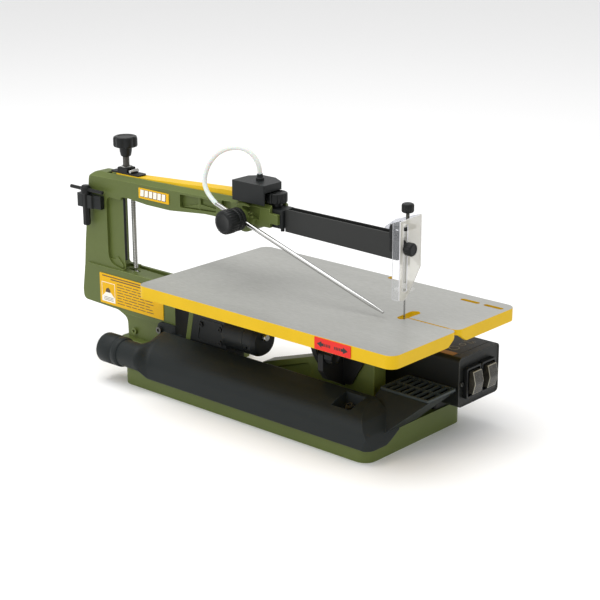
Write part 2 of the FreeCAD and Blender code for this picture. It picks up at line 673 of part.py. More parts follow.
def smooth_route(points):
    """Straight runs joined by tangent arcs, as one wire."""
    corners = [V(*p) for p in points]
    edges = []
    last = corners[0]
    for index in range(1, len(corners) - 1):
        before = corners[index] - corners[index - 1]
        after = corners[index + 1] - corners[index]
        turn = before.getAngle(after)
        room_before = before.Length * (0.9 if index == 1 else 0.45)
        room_after = after.Length * (0.9 if index == len(corners) - 2 else 0.45)
        radius = min(room_before, room_after) / math.tan(turn / 2)
        reach = radius * math.tan(turn / 2)
        unit_in = before.normalize()
        unit_out = after.normalize()
        start = corners[index] - unit_in * reach
        end = corners[index] + unit_out * reach
        to_centre = (unit_out - unit_in).normalize()
        centre = corners[index] + to_centre * (radius / math.cos(turn / 2))
        middle = centre - to_centre * radius
        edges.append(Part.LineSegment(last, start).toShape())
        edges.append(Part.Arc(start, middle, end).toShape())
        last = end
    edges.append(Part.LineSegment(last, corners[-1]).toShape())
    return Part.Wire(edges)


def tube_along(points, radius):
    """Round tube along a smooth route."""
    route = smooth_route(points)
    direction = V(*points[1]) - V(*points[0])
    profile = Part.Wire([Part.Circle(V(*points[0]), direction, radius).toShape()])
    tube = route.makePipeShell([profile], True, False)
    print("hose volume %.0f expected %.0f" % (tube.Volume, math.pi * radius * radius * route.Length))
    return tube


node("air_hose", tube_along(HOSE_PATH, dim("hose_r")))

# ---------------------------------------------------------------- dust duct along the near side

DUCT_SECTION = [(-38, 25.2), (-38, 57), (-60, 52.5), (-76, 46), (-85.5, 35), (-90, 17), (-82.3, 17), (-82.3, 25.2)]
DUCT_INSIDE = [(-41, 28), (-41, 53.5), (-60, 49.3), (-74, 43.4), (-82, 34), (-80, 28)]


def wire_in(points, x):
    """Closed Y-Z outline at one X."""
    ring = [V(x, y, z) for y, z in points]
    return Part.makePolygon(ring + [ring[0]])


def rectangle_at(z, x0, x1, y0, y1):
    """Closed rectangle at one height."""
    ring = [V(x0, y0, z), V(x1, y0, z), V(x1, y1, z), V(x0, y1, z)]
    return Part.makePolygon(ring + [ring[0]])


def round_points(centre, radius, angles):
    """Points on a circle in the Y-Z plane at the given angles."""
    return [(centre[0] + radius * math.cos(math.radians(a)), centre[1] + radius * math.sin(math.radians(a))) for a in angles]


def build_duct_pipe():
    """Rear half of the dust duct: round pipe, its blend into the body and the fixing lug."""
    centre = (dim("duct_y"), dim("duct_z"))
    ring = round_points(centre, dim("duct_r"), (-35, 20, 60, 95, 150, 205, 250, 290))
    blend = Part.makeLoft([wire_in(ring, -168), wire_in(DUCT_SECTION, -120.2)], True, True)
    pipe = rod((-199, centre[0], centre[1]), (-160, centre[0], centre[1]), dim("duct_r"))
    lug = box(-192, -158, -19.5, -15.2, 38, 57)
    arm = box(-172, -150, -42, -15.2, 38, 50)
    wedge = flat_plate([(-165, -38), (-120.2, -38), (-120.2, -62)], 26, 52)
    shape = joined(blend, pipe, wedge, joined(lug, arm))
    bore = rod((-210, centre[0], centre[1]), (-155, centre[0], centre[1]), 13)
    throat_ring = round_points(centre, 12.5, (-20, 50, 95, 150, 210, 270))
    throat_end = [(-45, 30), (-45, 50), (-60, 48), (-74, 42), (-81, 34), (-79, 30)]
    throat = Part.makeLoft([wire_in(throat_ring, -157), wire_in(throat_end, -120.2)], True, True)
    seat = BASE_SHAPE.copy()
    seat.translate(V(0, 0, 0.15))
    return less(shape, bore, throat, seat)


def build_duct():
    """Hollow dust duct along the base: long body and the funnel at its front end."""
    body = cross_plate(DUCT_SECTION, -120, 191)
    profile = side_plate([(-125, 10), (-125, 60), (148, 60), (161, 54), (174, 43), (184, 30), (191, 17), (191, 10)], -95, 20)
    body = body.common(profile)
    nose = side_plate([(140, 25.2), (140, 54), (161, 52), (174, 42), (184, 29), (190, 17), (183.3, 17), (183.3, 25.2)], -80, -22)
    funnel = Part.makeLoft([rectangle_at(25.2, 146, 182.5, -60, -4), rectangle_at(58, 152, 215, -24, 24)], True, True)
    shape = joined(body, nose, funnel)
    inside = cross_plate(DUCT_INSIDE, -121, 154)
    chute = Part.makeLoft([rectangle_at(28.2, 150, 176, -56, -8), rectangle_at(58.2, 155, 212, -21, 21)], True, True)
    shape = less(shape, inside, chute)
    screw_bay = box(127, 151, -64, -48, 44, 62)
    return less(shape, screw_bay)


def build_grille():
    """Slotted inlet grille: a frame, one middle bar and cross bars."""
    plate = box(152, 215, -24, 24, 58.2, 61)
    cutters = []
    for row in range(7):
        x0 = 155 + row * 8.3
        cutters.append(box(x0, x0 + 6.2, -21.5, -1, 55, 65))
        cutters.append(box(x0, x0 + 6.2, 1, 21.5, 55, 65))
    return less(plate, *cutters)


def build_collar():
    """Turning hose collar on the end of the pipe."""
    y = dim("duct_y")
    z = dim("duct_z")
    collar = rod((-210, y, z), (-178, y, z), dim("collar_r"))
    wide = rod((-199.7, y, z), (-170, y, z), dim("duct_r") + 0.06)
    return less(collar, wide, rod((-220, y, z), (-198, y, z), dim("outlet_r")))


node("duct_pipe", build_duct_pipe())
node("duct_body", build_duct())
node("duct_grille", build_grille())
node("duct_collar", build_collar())
DUCT_SCREWS = [cap_screw((-184, -19.5, 47), (0, -1, 0), 4, 3), cap_screw((139, -56, 43), (0, -0.4, 1), 4.5, 4)]

# ---------------------------------------------------------------- control box


def build_box():
    """Rounded switch box on a foot above the base's far front corner."""
    shell = box(dim("box_x0"), dim("box_x1"), dim("box_y0"), dim("box_y1"), dim("box_z0"), dim("box_z1"))
    shell = rounded(shell, 4, "x")
    foot = box(160, 181, 34, 78, 25, 38)
    return joined(shell, foot)


def build_bezel(y0, y1):
    """Switch frame on the box's front face."""
    frame = box(215, 220, y0, y1, 46, 80)
    return less(frame, box(214, 221, y0 + 2.2, y1 - 2.2, 48.6, 77.4))


def build_rocker(y0, y1):
    """Rocker paddle with a shallow V front."""
    outline = [(217.8, 50), (224.5, 50), (227.6, 63), (224.5, 76), (217.8, 76)]
    return side_plate(outline, y0, y1)


node("control_box", build_box())
node("switch_bezels", group(build_bezel(36, 61), build_bezel(62.5, 87.5),
                            rod((219, 36.5, 63), (219, 38.6, 63), 1), rod((219, 63, 63), (219, 65.1, 63), 1)))
node("power_rocker", build_rocker(39, 58))
node("speed_rocker", build_rocker(65.5, 84.5))
BOX_SCREWS = [cap_screw((215, y, 63), (1, 0, 0), 2.4, 1.6) for y in (32.5, 94)]
node("cover_screws", group(*(BOX_SCREWS + DUCT_SCREWS)))
node("cable_gland", joined(rod((-183, 52, 13), (-187, 52, 13), 8), cone((-187, 52, 13), (-199, 52, 13), 6, 4.5)))

# ---------------------------------------------------------------- tool clip and key

KEY = (-303, -22.5)


def build_clip():
    """Clip that wraps the upright's rear edge and holds the key."""
    block = box(-318, -279, -25, -15.2, 177, 193)
    wrap = box(-318, -312.5, -15.2, 9, 177, 193)
    shape = joined(block, wrap)
    shape = less(shape, rod((KEY[0], KEY[1], 170), (KEY[0], KEY[1], 200), 5))
    return less(shape, flat_plate([(-295, -31), (-270, -31), (-270, -19)], 170, 200))


def build_key():
    """T-handled hexagon key hanging in the clip."""
    bar = rod((-330, KEY[1], 199), (-272, KEY[1], 199), 2.2)
    hub = rod((KEY[0], KEY[1], 193.5), (KEY[0], KEY[1], 204), 6)
    shank = rod((KEY[0], KEY[1], 155), (KEY[0], KEY[1], 194), 4.6)
    return joined(bar, hub, shank)


node("tool_clip", build_clip())
node("hex_key", build_key())

# ---------------------------------------------------------------- checks and export
doc.recompute()
os.makedirs("parts", exist_ok=True)
for item in doc.Objects:
    if "Invalid" in item.State or "Error" in item.State:
        raise RuntimeError("bad state: " + item.Label)
for item in NODES:
    shape = item.Shape
    if shape.isNull() or not shape.isValid() or len(shape.Solids) == 0:
        raise RuntimeError("bad shape: " + item.Label)
    shape.exportStep("parts/" + item.Label + ".step")
print("nodes written:", len(NODES))
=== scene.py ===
import bmesh
import bpy
import math
from mathutils import Matrix, Vector


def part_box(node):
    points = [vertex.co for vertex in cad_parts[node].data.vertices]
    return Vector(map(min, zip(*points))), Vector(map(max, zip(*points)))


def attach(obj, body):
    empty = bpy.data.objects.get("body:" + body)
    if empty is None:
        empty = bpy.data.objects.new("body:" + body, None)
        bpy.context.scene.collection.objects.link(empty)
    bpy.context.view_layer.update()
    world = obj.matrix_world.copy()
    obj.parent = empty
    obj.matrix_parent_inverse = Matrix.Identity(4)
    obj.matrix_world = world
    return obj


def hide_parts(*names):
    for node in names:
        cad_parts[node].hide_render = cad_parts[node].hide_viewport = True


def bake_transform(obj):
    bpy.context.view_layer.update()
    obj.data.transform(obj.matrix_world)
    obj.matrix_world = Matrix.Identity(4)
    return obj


# Bench scroll saw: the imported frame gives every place, the meshes and materials here give the looks.
# Helpers take millimetres in the frame's own axes and write metres.

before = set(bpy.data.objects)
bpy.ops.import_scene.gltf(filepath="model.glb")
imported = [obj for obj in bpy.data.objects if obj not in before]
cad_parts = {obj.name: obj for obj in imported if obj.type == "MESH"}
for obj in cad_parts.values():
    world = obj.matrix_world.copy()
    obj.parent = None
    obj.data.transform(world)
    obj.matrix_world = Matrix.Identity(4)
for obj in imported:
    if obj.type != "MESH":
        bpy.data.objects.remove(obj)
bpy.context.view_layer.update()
MM = 0.001
SMOOTH_ANGLE = math.radians(40)

# Axes and centres that several pieces share, in millimetres.
PIVOT_X = -45
UPPER_PIVOT_Z = 208
LOWER_PIVOT_Z = 92
SPINDLE_X = -254
TILT_LOCK_Y = -43.3
TILT_LOCK_Z = 89
GUARD_KNOB_Y = -13
GUARD_KNOB_Z = 212
PIPE_Y = -80
PIPE_Z = 36
PIPE_RADIUS = 15.5


def extent(node):
    """x0, x1, y0, y1, z0, z1 of a CAD node in millimetres."""
    low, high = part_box(node)
    return [round(value / MM, 2) for pair in zip(low, high) for value in pair]


# ---------------------------------------------------------------- camera

CAMERA_AZIMUTH = math.radians(41.66)
CAMERA_ELEVATION = math.radians(17.73)
CAMERA_ROLL = math.radians(-0.18)
CAMERA_DISTANCE = 1.708
CAMERA_TARGET = Vector((0.020, 0, 0.122))
CAMERA_LENS = 93.84


def make_camera():
    """Camera that looks at the saw from its near front corner."""
    ground = Vector((math.sin(CAMERA_AZIMUTH), -math.cos(CAMERA_AZIMUTH), 0))
    back = ground * math.cos(CAMERA_ELEVATION) + Vector((0, 0, math.sin(CAMERA_ELEVATION)))
    level = Vector((math.cos(CAMERA_AZIMUTH), math.sin(CAMERA_AZIMUTH), 0))
    right = level * math.cos(CAMERA_ROLL) + back.cross(level) * math.sin(CAMERA_ROLL)
    upward = back.cross(right)
    data = bpy.data.cameras.new("camera")
    data.lens = CAMERA_LENS
    camera = bpy.data.objects.new("camera", data)
    bpy.context.scene.collection.objects.link(camera)
    camera.matrix_world = Matrix.Translation(CAMERA_TARGET + back * CAMERA_DISTANCE) @ Matrix(
        (right, upward, back)).transposed().to_4x4()
    bpy.context.scene.camera = camera


make_camera()

# ---------------------------------------------------------------- materials


def linear(channel):
    """One 0 to 255 display value as a linear share of light."""
    share = channel / 255
    return share / 12.92 if share <= 0.04045 else ((share + 0.055) / 1.055) ** 2.4


def rgb(red, green, blue):
    """Display colour as a linear colour."""
    return (linear(red), linear(green), linear(blue), 1.0)


def scaled(colour, factor):
    """Lighter or darker version of a linear colour."""
    return tuple(min(1.0, channel * factor) for channel in colour[:3]) + (1.0,)


def add_node(tree, kind, inputs, **settings):
    """Node whose inputs are values or sockets, by name or number."""
    made = tree.nodes.new(kind)
    for name, value in settings.items():
        setattr(made, name, value)
    for name, value in inputs.items():
        if isinstance(value, bpy.types.NodeSocket):
            tree.links.new(value, made.inputs[name])
        else:
            made.inputs[name].default_value = value
    return made


def mixed(tree, factor, first, second):
    """Colour between two colours, by a factor socket."""
    mixer = add_node(tree, "ShaderNodeMix", {0: factor, 6: first, 7: second}, data_type="RGBA")
    return mixer.outputs[2]


def ranged(tree, value, from_low, from_high, low, high):
    """Value socket carried from one range to another."""
    return add_node(tree, "ShaderNodeMapRange", {"Value": value, "From Min": from_low, "From Max": from_high,
                                                 "To Min": low, "To Max": high}).outputs[0]


def noise(tree, place, scale, detail=3.0, rough=0.55):
    """Noise value at a scale in features per metre."""
    return add_node(tree, "ShaderNodeTexNoise", {"Vector": place, "Scale": scale, "Detail": detail,
                                                 "Roughness": rough}).outputs["Fac"]


def edge_mask(tree, width, break_up):
    """1 on edges and 0 on faces, broken up by a noise value."""
    soft = add_node(tree, "ShaderNodeBevel", {"Radius": width * MM}, samples=4).outputs[0]
    true_normal = tree.nodes.new("ShaderNodeNewGeometry").outputs["Normal"]
    dot = add_node(tree, "ShaderNodeVectorMath", {0: soft, 1: true_normal},
                   operation="DOT_PRODUCT").outputs["Value"]
    mask = ranged(tree, dot, 0.995, 0.86, 0.0, 1.0)
    wear_and_highlight = ranged(tree, break_up, 0.35, 0.62, 0.15, 1.0)
    return add_node(tree, "ShaderNodeMath", {0: mask, 1: wear_and_highlight}, operation="MULTIPLY").outputs[0]


def surface(name, colour, roughness, metallic=0.0, tint=0.10, patch=22.0, grain=1500.0, depth=0.03,
            stretch=(1, 1, 1), gloss_span=0.06, edge=None, edge_width=0.8, **shader_inputs):
    """Material whose colour, gloss and relief vary with noise, and whose edges may be lighter: worn on most
    finishes, and partly a painted highlight on the satin channel.
    """
    material = bpy.data.materials.new(name)
    material.use_nodes = True
    tree = material.node_tree
    shader = tree.nodes["Principled BSDF"]
    coordinates = tree.nodes.new("ShaderNodeTexCoord").outputs["Object"]
    place = add_node(tree, "ShaderNodeMapping", {"Vector": coordinates, "Scale": stretch}).outputs[0]
    patches = noise(tree, place, patch, detail=5.0)
    fine = noise(tree, place, grain, detail=2.0)
    blotch = ranged(tree, patches, 0.3, 0.7, 0.0, 1.0)
    base = mixed(tree, blotch, scaled(colour, 1 - tint), scaled(colour, 1 + tint))
    speckle = ranged(tree, fine, 0.3, 0.7, 0.0, 0.35)
    base = mixed(tree, speckle, base, scaled(colour, 1 - 1.4 * tint))
    if edge:
        base = mixed(tree, edge_mask(tree, edge_width, patches), base, edge)
    tree.links.new(base, shader.inputs["Base Color"])
    gloss = ranged(tree, fine, 0.3, 0.7, roughness - gloss_span, roughness + gloss_span)
    tree.links.new(gloss, shader.inputs["Roughness"])
    relief = add_node(tree, "ShaderNodeBump", {"Strength": 0.6, "Distance": depth * MM, "Height": fine})
    tree.links.new(relief.outputs[0], shader.inputs["Normal"])
    shader.inputs["Metallic"].default_value = metallic
    for socket, value in shader_inputs.items():
        shader.inputs[socket.replace("_", " ")].default_value = value
    return material


def printed(name, colour, tint=0.1, patch=200.0, **shader_inputs):
    """Flat ink of a label or a sign."""
    return surface(name, colour, 0.5, tint=tint, patch=patch, depth=0.01, **shader_inputs)


def clear_sheet(name, colour, roughness, alpha):
    """Clear plastic sheet of the guard."""
    return surface(name, colour, roughness, tint=0.02, depth=0.004, Alpha=alpha, IOR=1.45)


GREEN = surface("green_paint", rgb(89, 101, 47), 0.48, tint=0.06, depth=0.05, grain=900.0,
                edge=rgb(142, 154, 92), edge_width=0.9, Specular_IOR_Level=0.32)
YELLOW = surface("yellow_paint", rgb(221, 180, 6), 0.46, tint=0.05, depth=0.04, grain=900.0,
                 edge=rgb(240, 208, 72), edge_width=0.6, Specular_IOR_Level=0.22)
TABLE_METAL = surface("ground_table_metal", rgb(176, 176, 171), 0.42, metallic=0.55, tint=0.09, patch=16.0,
                      grain=700.0, depth=0.01, stretch=(0.16, 1, 1), gloss_span=0.10)
DUCT_PLASTIC = surface("moulded_duct_plastic", rgb(28, 33, 33), 0.50, tint=0.08, depth=0.05, grain=1300.0,
                       edge=rgb(50, 57, 60), edge_width=1.2, Specular_IOR_Level=0.22)
# Near-black painted shade for the inside of the duct's chute under the grille.
DUCT_PAINTED_SHADE = surface("duct_inside_painted_shade", rgb(4, 4, 4), 0.8, tint=0.1, depth=0.03, Specular_IOR_Level=0.05)
BLACK_PLASTIC = surface("black_plastic", rgb(26, 29, 29), 0.44, tint=0.10, depth=0.04, grain=1200.0,
                        edge=rgb(56, 60, 60), edge_width=0.6, Specular_IOR_Level=0.25)
KNOB_PLASTIC = surface("knob_plastic", rgb(19, 21, 21), 0.38, tint=0.12, depth=0.03,
                       edge=rgb(58, 61, 61), edge_width=0.5, Specular_IOR_Level=0.25)
# Its pale edge colour is partly wear and partly a painted highlight along the rolled top edges.
CHANNEL_METAL = surface("satin_black_metal", rgb(46, 47, 46), 0.42, metallic=0.2, tint=0.08, patch=12.0,
                        stretch=(0.2, 1, 1), depth=0.03, edge=rgb(112, 112, 108), edge_width=0.5,
                        Specular_IOR_Level=0.3)
BLACK_METAL = surface("black_painted_metal", rgb(26, 27, 27), 0.46, metallic=0.1, tint=0.10,
                      edge=rgb(74, 76, 76), edge_width=0.5, Specular_IOR_Level=0.25)
BRIGHT_STEEL = surface("turned_steel", rgb(176, 176, 172), 0.30, metallic=1.0, tint=0.08, patch=60.0)
SPINDLE_STEEL = surface("dark_spindle_steel", rgb(88, 86, 82), 0.34, metallic=0.9, tint=0.15, patch=90.0)
SCREW_STEEL = surface("dark_screw_steel", rgb(96, 96, 92), 0.34, metallic=0.9, tint=0.15, patch=120.0)
BLADE_STEEL = surface("blade_steel", rgb(150, 150, 148), 0.26, metallic=1.0, tint=0.10, patch=300.0)
CHROME = surface("chromed_tube", rgb(178, 178, 176), 0.14, metallic=1.0, tint=0.06, patch=90.0,
                 gloss_span=0.04)
HOSE_PLASTIC = surface("milky_hose", rgb(226, 228, 224), 0.30, tint=0.03, patch=90.0, depth=0.01,
                       Transmission_Weight=0.08, IOR=1.4, Subsurface_Weight=0.25)
LABEL = printed("label_yellow", rgb(229, 177, 10), 0.04, 120.0, Specular_IOR_Level=0.2)
GRILLE_PLASTIC = surface("grille_plastic", rgb(54, 61, 60), 0.5, tint=0.08, depth=0.03,
                         Specular_IOR_Level=0.25)
PALE_STEEL = surface("pale_steel", rgb(212, 212, 208), 0.34, metallic=0.45, tint=0.05, patch=60.0)
# Darker yellow for the floors of the table's insert slots: painted shade of the recesses.
SLOT_PAINTED_SHADE = surface("slot_floor_painted_shade", rgb(132, 104, 16), 0.6, tint=0.3, patch=260.0, depth=0.02)
LABEL_BROWN = printed("label_brown", rgb(176, 122, 28), 0.15, 200.0)
LABEL_GREY = printed("label_grey", rgb(128, 126, 116), 0.1, 200.0)
LABEL_WHITE = printed("label_white", rgb(244, 240, 228), 0.03, 120.0)
LABEL_PRINT = printed("label_print", rgb(84, 56, 26), 0.1, 300.0)
SIGN_RED = printed("sign_red", rgb(226, 40, 30), 0.05, 120.0, Specular_IOR_Level=0.3)
SIGN_BLACK = printed("sign_black", rgb(26, 22, 20), 0.1, 200.0)
BOX_PLASTIC = surface("control_box_plastic", rgb(25, 27, 25), 0.46, tint=0.08, depth=0.05, grain=1300.0,
                      edge=rgb(84, 84, 78), edge_width=0.9, Specular_IOR_Level=0.22)
# Its strong light and dark blotches are painted sheen, standing in for the bright reflection streaks on the
# paddles.
SMOKED_PAINTED_SHEEN = surface("smoked_rocker", rgb(58, 56, 49), 0.26, tint=0.5, patch=150.0, depth=0.01,
                 Specular_IOR_Level=0.35)
ROCKER_RIM = surface("rocker_rim", rgb(150, 146, 128), 0.24, tint=0.08, patch=110.0, depth=0.01,
                     Coat_Weight=0.4)
# The guard is one clear sheet given several finishes. The front is made lighter as painted light against its
# shade, and the far wing is tinted pale blue as painted reflection.
GUARD_FRONT = clear_sheet("guard_front", rgb(226, 223, 212), 0.16, 0.50)
GUARD_SIDE = clear_sheet("guard_side", rgb(206, 208, 212), 0.08, 0.14)
GUARD_WING = clear_sheet("guard_wing", rgb(176, 180, 200), 0.08, 0.34)
GUARD_RIM = clear_sheet("guard_rim", rgb(236, 236, 240), 0.15, 0.82)

# ---------------------------------------------------------------- mesh helpers


def to_object(bm, name="solid"):
    """Finished bmesh as a scene object with its normals outward."""
    bmesh.ops.recalc_face_normals(bm, faces=bm.faces)
    mesh = bpy.data.meshes.new(name)
    bm.to_mesh(mesh)
    bm.free()
    made = bpy.data.objects.new(name, mesh)
    bpy.context.scene.collection.objects.link(made)
    return made


def corner_arc(before, corner, after, radius, steps):
    """Points of the arc that rounds one corner of an outline."""
    inward = before - corner
    outward = after - corner
    room = 0.48 * min(inward.length, outward.length)
    inward.normalize()
    outward.normalize()
    half = inward.angle(outward) / 2
    if half > math.radians(88):
        return [corner]
    reach = min(radius / math.tan(half), room)
    real = reach * math.tan(half)
    centre = corner + (inward + outward).normalized() * (real / math.sin(half))
    first = corner + inward * reach - centre
    last = corner + outward * reach - centre
    sweep = first.angle(last)
    points = []
    for step in range(steps + 1):
        share = step / steps
        blend = first * math.sin((1 - share) * sweep) + last * math.sin(share * sweep)
        points.append(centre + blend / math.sin(sweep))
    return points


def outline(points, radius=0.0, steps=6):
    """Closed outline from (a, b) or (a, b, radius) corners."""
    result = []
    for index, point in enumerate(points):
        size = point[2] if len(point) > 2 else radius
        corner = Vector(point[:2])
        if size <= 0:
            result.append(corner)
            continue
        before = Vector(points[index - 1][:2])
        after = Vector(points[(index + 1) % len(points)][:2])
        result += corner_arc(before, corner, after, size, steps)
    return result


PLACES = {
    "x": lambda a, b, t: (t, a, b),
    "y": lambda a, b, t: (a, t, b),
    "z": lambda a, b, t: (a, b, t),
}


def loft(rings):
    """Solid through closed rings that have the same number of points."""
    bm = bmesh.new()
    made = [[bm.verts.new(Vector(point) * MM) for point in ring] for ring in rings]
    count = len(made[0])
    for lower, upper in zip(made, made[1:]):
        for index in range(count):
            following = (index + 1) % count
            bm.faces.new((lower[index], lower[following], upper[following], upper[index]))
    bm.faces.new(made[0])
    bm.faces.new(list(reversed(made[-1])))
    return to_object(bm)


def prism(points, axis, low, high):
    """Solid with a flat outline, carried along one axis."""
    place = PLACES[axis]
    return loft([[place(point[0], point[1], level) for point in points] for level in (low, high)])


def shaped(corners, axis, low, high):
    """Solid whose flat outline is made from corners, carried along one axis."""
    return prism(outline(corners), axis, low, high)


def slab(a0, a1, b0, b1, radius, axis, low, high):
    """Rectangle with four equal rounded corners, carried along one axis."""
    corners = [(a0, b0, radius), (a1, b0, radius), (a1, b1, radius), (a0, b1, radius)]
    return shaped(corners, axis, low, high)


def block(x0, x1, y0, y1, z0, z1):
    """Plain box, used as a cutter or as the start of a shaped piece."""
    return prism([(x0, y0), (x1, y0), (x1, y1), (x0, y1)], "z", z0, z1)


def turned(profile, start, direction, sides=64, lobes=0, lobe_depth=0.0, sharpness=1.0):
    """Turned solid: (radius, height) or (radius, height, grip) rows along a direction, with a lobed grip."""
    axis = Vector(direction).normalized()
    spin = Vector((0, 0, 1)).rotation_difference(axis)
    rings = []
    for row in profile:
        grip = row[2] if len(row) > 2 else 0.0
        ring = []
        for side in range(sides):
            angle = 2 * math.pi * side / sides
            wave = (0.5 + 0.5 * math.cos(lobes * angle)) ** sharpness if lobes else 0.0
            radius = row[0] - grip * lobe_depth * wave
            point = Vector((radius * math.cos(angle), radius * math.sin(angle), row[1]))
            ring.append(Vector(start) + spin @ point)
        rings.append(ring)
    return loft(rings)


def round_bar(start, end, radius, end_radius=None, sides=40):
    """Straight round bar between two points."""
    run = Vector(end) - Vector(start)
    return turned([(radius, 0), (end_radius or radius, run.length)], start, run, sides)


def settle(piece):
    """Keeps what the modifiers make as the piece's own mesh."""
    bpy.context.view_layer.update()
    graph = bpy.context.evaluated_depsgraph_get()
    mesh = bpy.data.meshes.new_from_object(piece.evaluated_get(graph))
    piece.modifiers.clear()
    piece.data = mesh
    return piece


def combine(target, operation, others):
    """Target with each other solid joined to it or cut from it."""
    for other in others:
        modifier = target.modifiers.new("boolean", "BOOLEAN")
        modifier.operation = operation
        modifier.solver = "EXACT"
        modifier.object = other
        settle(target)
        bpy.data.objects.remove(other)
    return target


def fused(target, *others):
    """One solid from several that overlap."""
    return combine(target, "UNION", others)


def carved(target, *cutters):
    """Solid with the cutters taken away."""
    return combine(target, "DIFFERENCE", cutters)


def gathered(*solids):
    """One mesh that holds several separate solids."""
    bm = bmesh.new()
    for solid in solids:
        bm.from_mesh(solid.data)
        bpy.data.objects.remove(solid)
    return to_object(bm)


def clean(piece):
    """Welds doubled points and dissolves flat leftovers of the cutting."""
    bm = bmesh.new()
    bm.from_mesh(piece.data)
    bmesh.ops.remove_doubles(bm, verts=bm.verts, dist=0.02 * MM)
    bmesh.ops.dissolve_limit(bm, angle_limit=math.radians(0.5), verts=bm.verts, edges=bm.edges)
    bm.to_mesh(piece.data)
    bm.free()


def soften(piece, width, segments=3, angle=28):
    """Rounded edges with even shading over the flat faces."""
    bevel = piece.modifiers.new("bevel", "BEVEL")
    bevel.width = width * MM
    bevel.segments = segments
    bevel.limit_method = "ANGLE"
    bevel.angle_limit = math.radians(angle)
    bevel.miter_outer = "MITER_ARC"
    piece.data.shade_smooth()
    settle(piece)
    piece.data.set_sharp_from_angle(angle=SMOOTH_ANGLE)
    weighted = piece.modifiers.new("weighted", "WEIGHTED_NORMAL")
    weighted.keep_sharp = True
    return settle(piece)


def finish(piece, name, body, material, nodes=(), round_edges=0.0, segments=3, angle=28):
    """Names, rounds, paints and mounts one finished piece."""
    piece.name = name
    clean(piece)
    if round_edges:
        soften(piece, round_edges, segments, angle)
    else:
        piece.data.shade_smooth()
        piece.data.set_sharp_from_angle(angle=SMOOTH_ANGLE)
    piece.data.name = name
    piece.data.materials.clear()
    piece.data.materials.append(material)
    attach(piece, body)
    if nodes:
        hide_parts(*nodes)
    return piece


def paint_where(piece, material, test):
    """Gives a second material to the faces whose middle (mm) and normal pass the test."""
    piece.data.materials.append(material)
    index = len(piece.data.materials) - 1
    for face in piece.data.polygons:
        if test(face.center / MM, face.normal):
            face.material_index = index


def dress(node, material):
    """Gives a CAD node that stays in view its finish."""
    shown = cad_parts[node]
    shown.data.materials.clear()
    shown.data.materials.append(material)


# ---------------------------------------------------------------- base and C-shaped casting


def make_base():
    """Low base casting with a motor bay, a pipe relief and a rounded top rim."""
    x0, x1, y0, y1, z0, z1 = extent("base_casting")
    plan = outline([(-183, y0, 14), (x1, y0, 14), (x1, y1, 14), (-35, y1, 6), (-35, -8, 3), (-132, -8, 3),
                    (-132, y1, 6), (-183, y1, 14), (-183, 24, 4), (x0, 24, 9), (x0, -24, 9), (-183, -24, 4)])
    base = prism(plan, "z", z0, z1)
    collar = extent("duct_collar")
    middle_y = (collar[2] + collar[3]) / 2
    middle_z = (collar[4] + collar[5]) / 2
    cutters = [round_bar((-200, middle_y, middle_z), (-95, middle_y, middle_z), 16),
               round_bar((-212, middle_y, middle_z), (-177, middle_y, middle_z), 18)]
    for x in (-150, 150):
        for y in (-60, 60):
            cutters.append(round_bar((x, y, -1), (x, y, 18), 3.4))
    carved(base, *cutters)
    finish(base, "base_shell", "frame", GREEN, ["base_casting"], 2.2, 3)


def chamfer_wedge(side):
    """Long sloping cutter that takes the top edge off the upper arm on one side."""
    rings = []
    for x, top in ((-335, 219.6), (8, 227.6)):
        rings.append([(x, side * 16.5, top - 6.4), (x, side * 16.5, top + 6), (x, side * 4.5, top + 3.2)])
    return loft(rings)


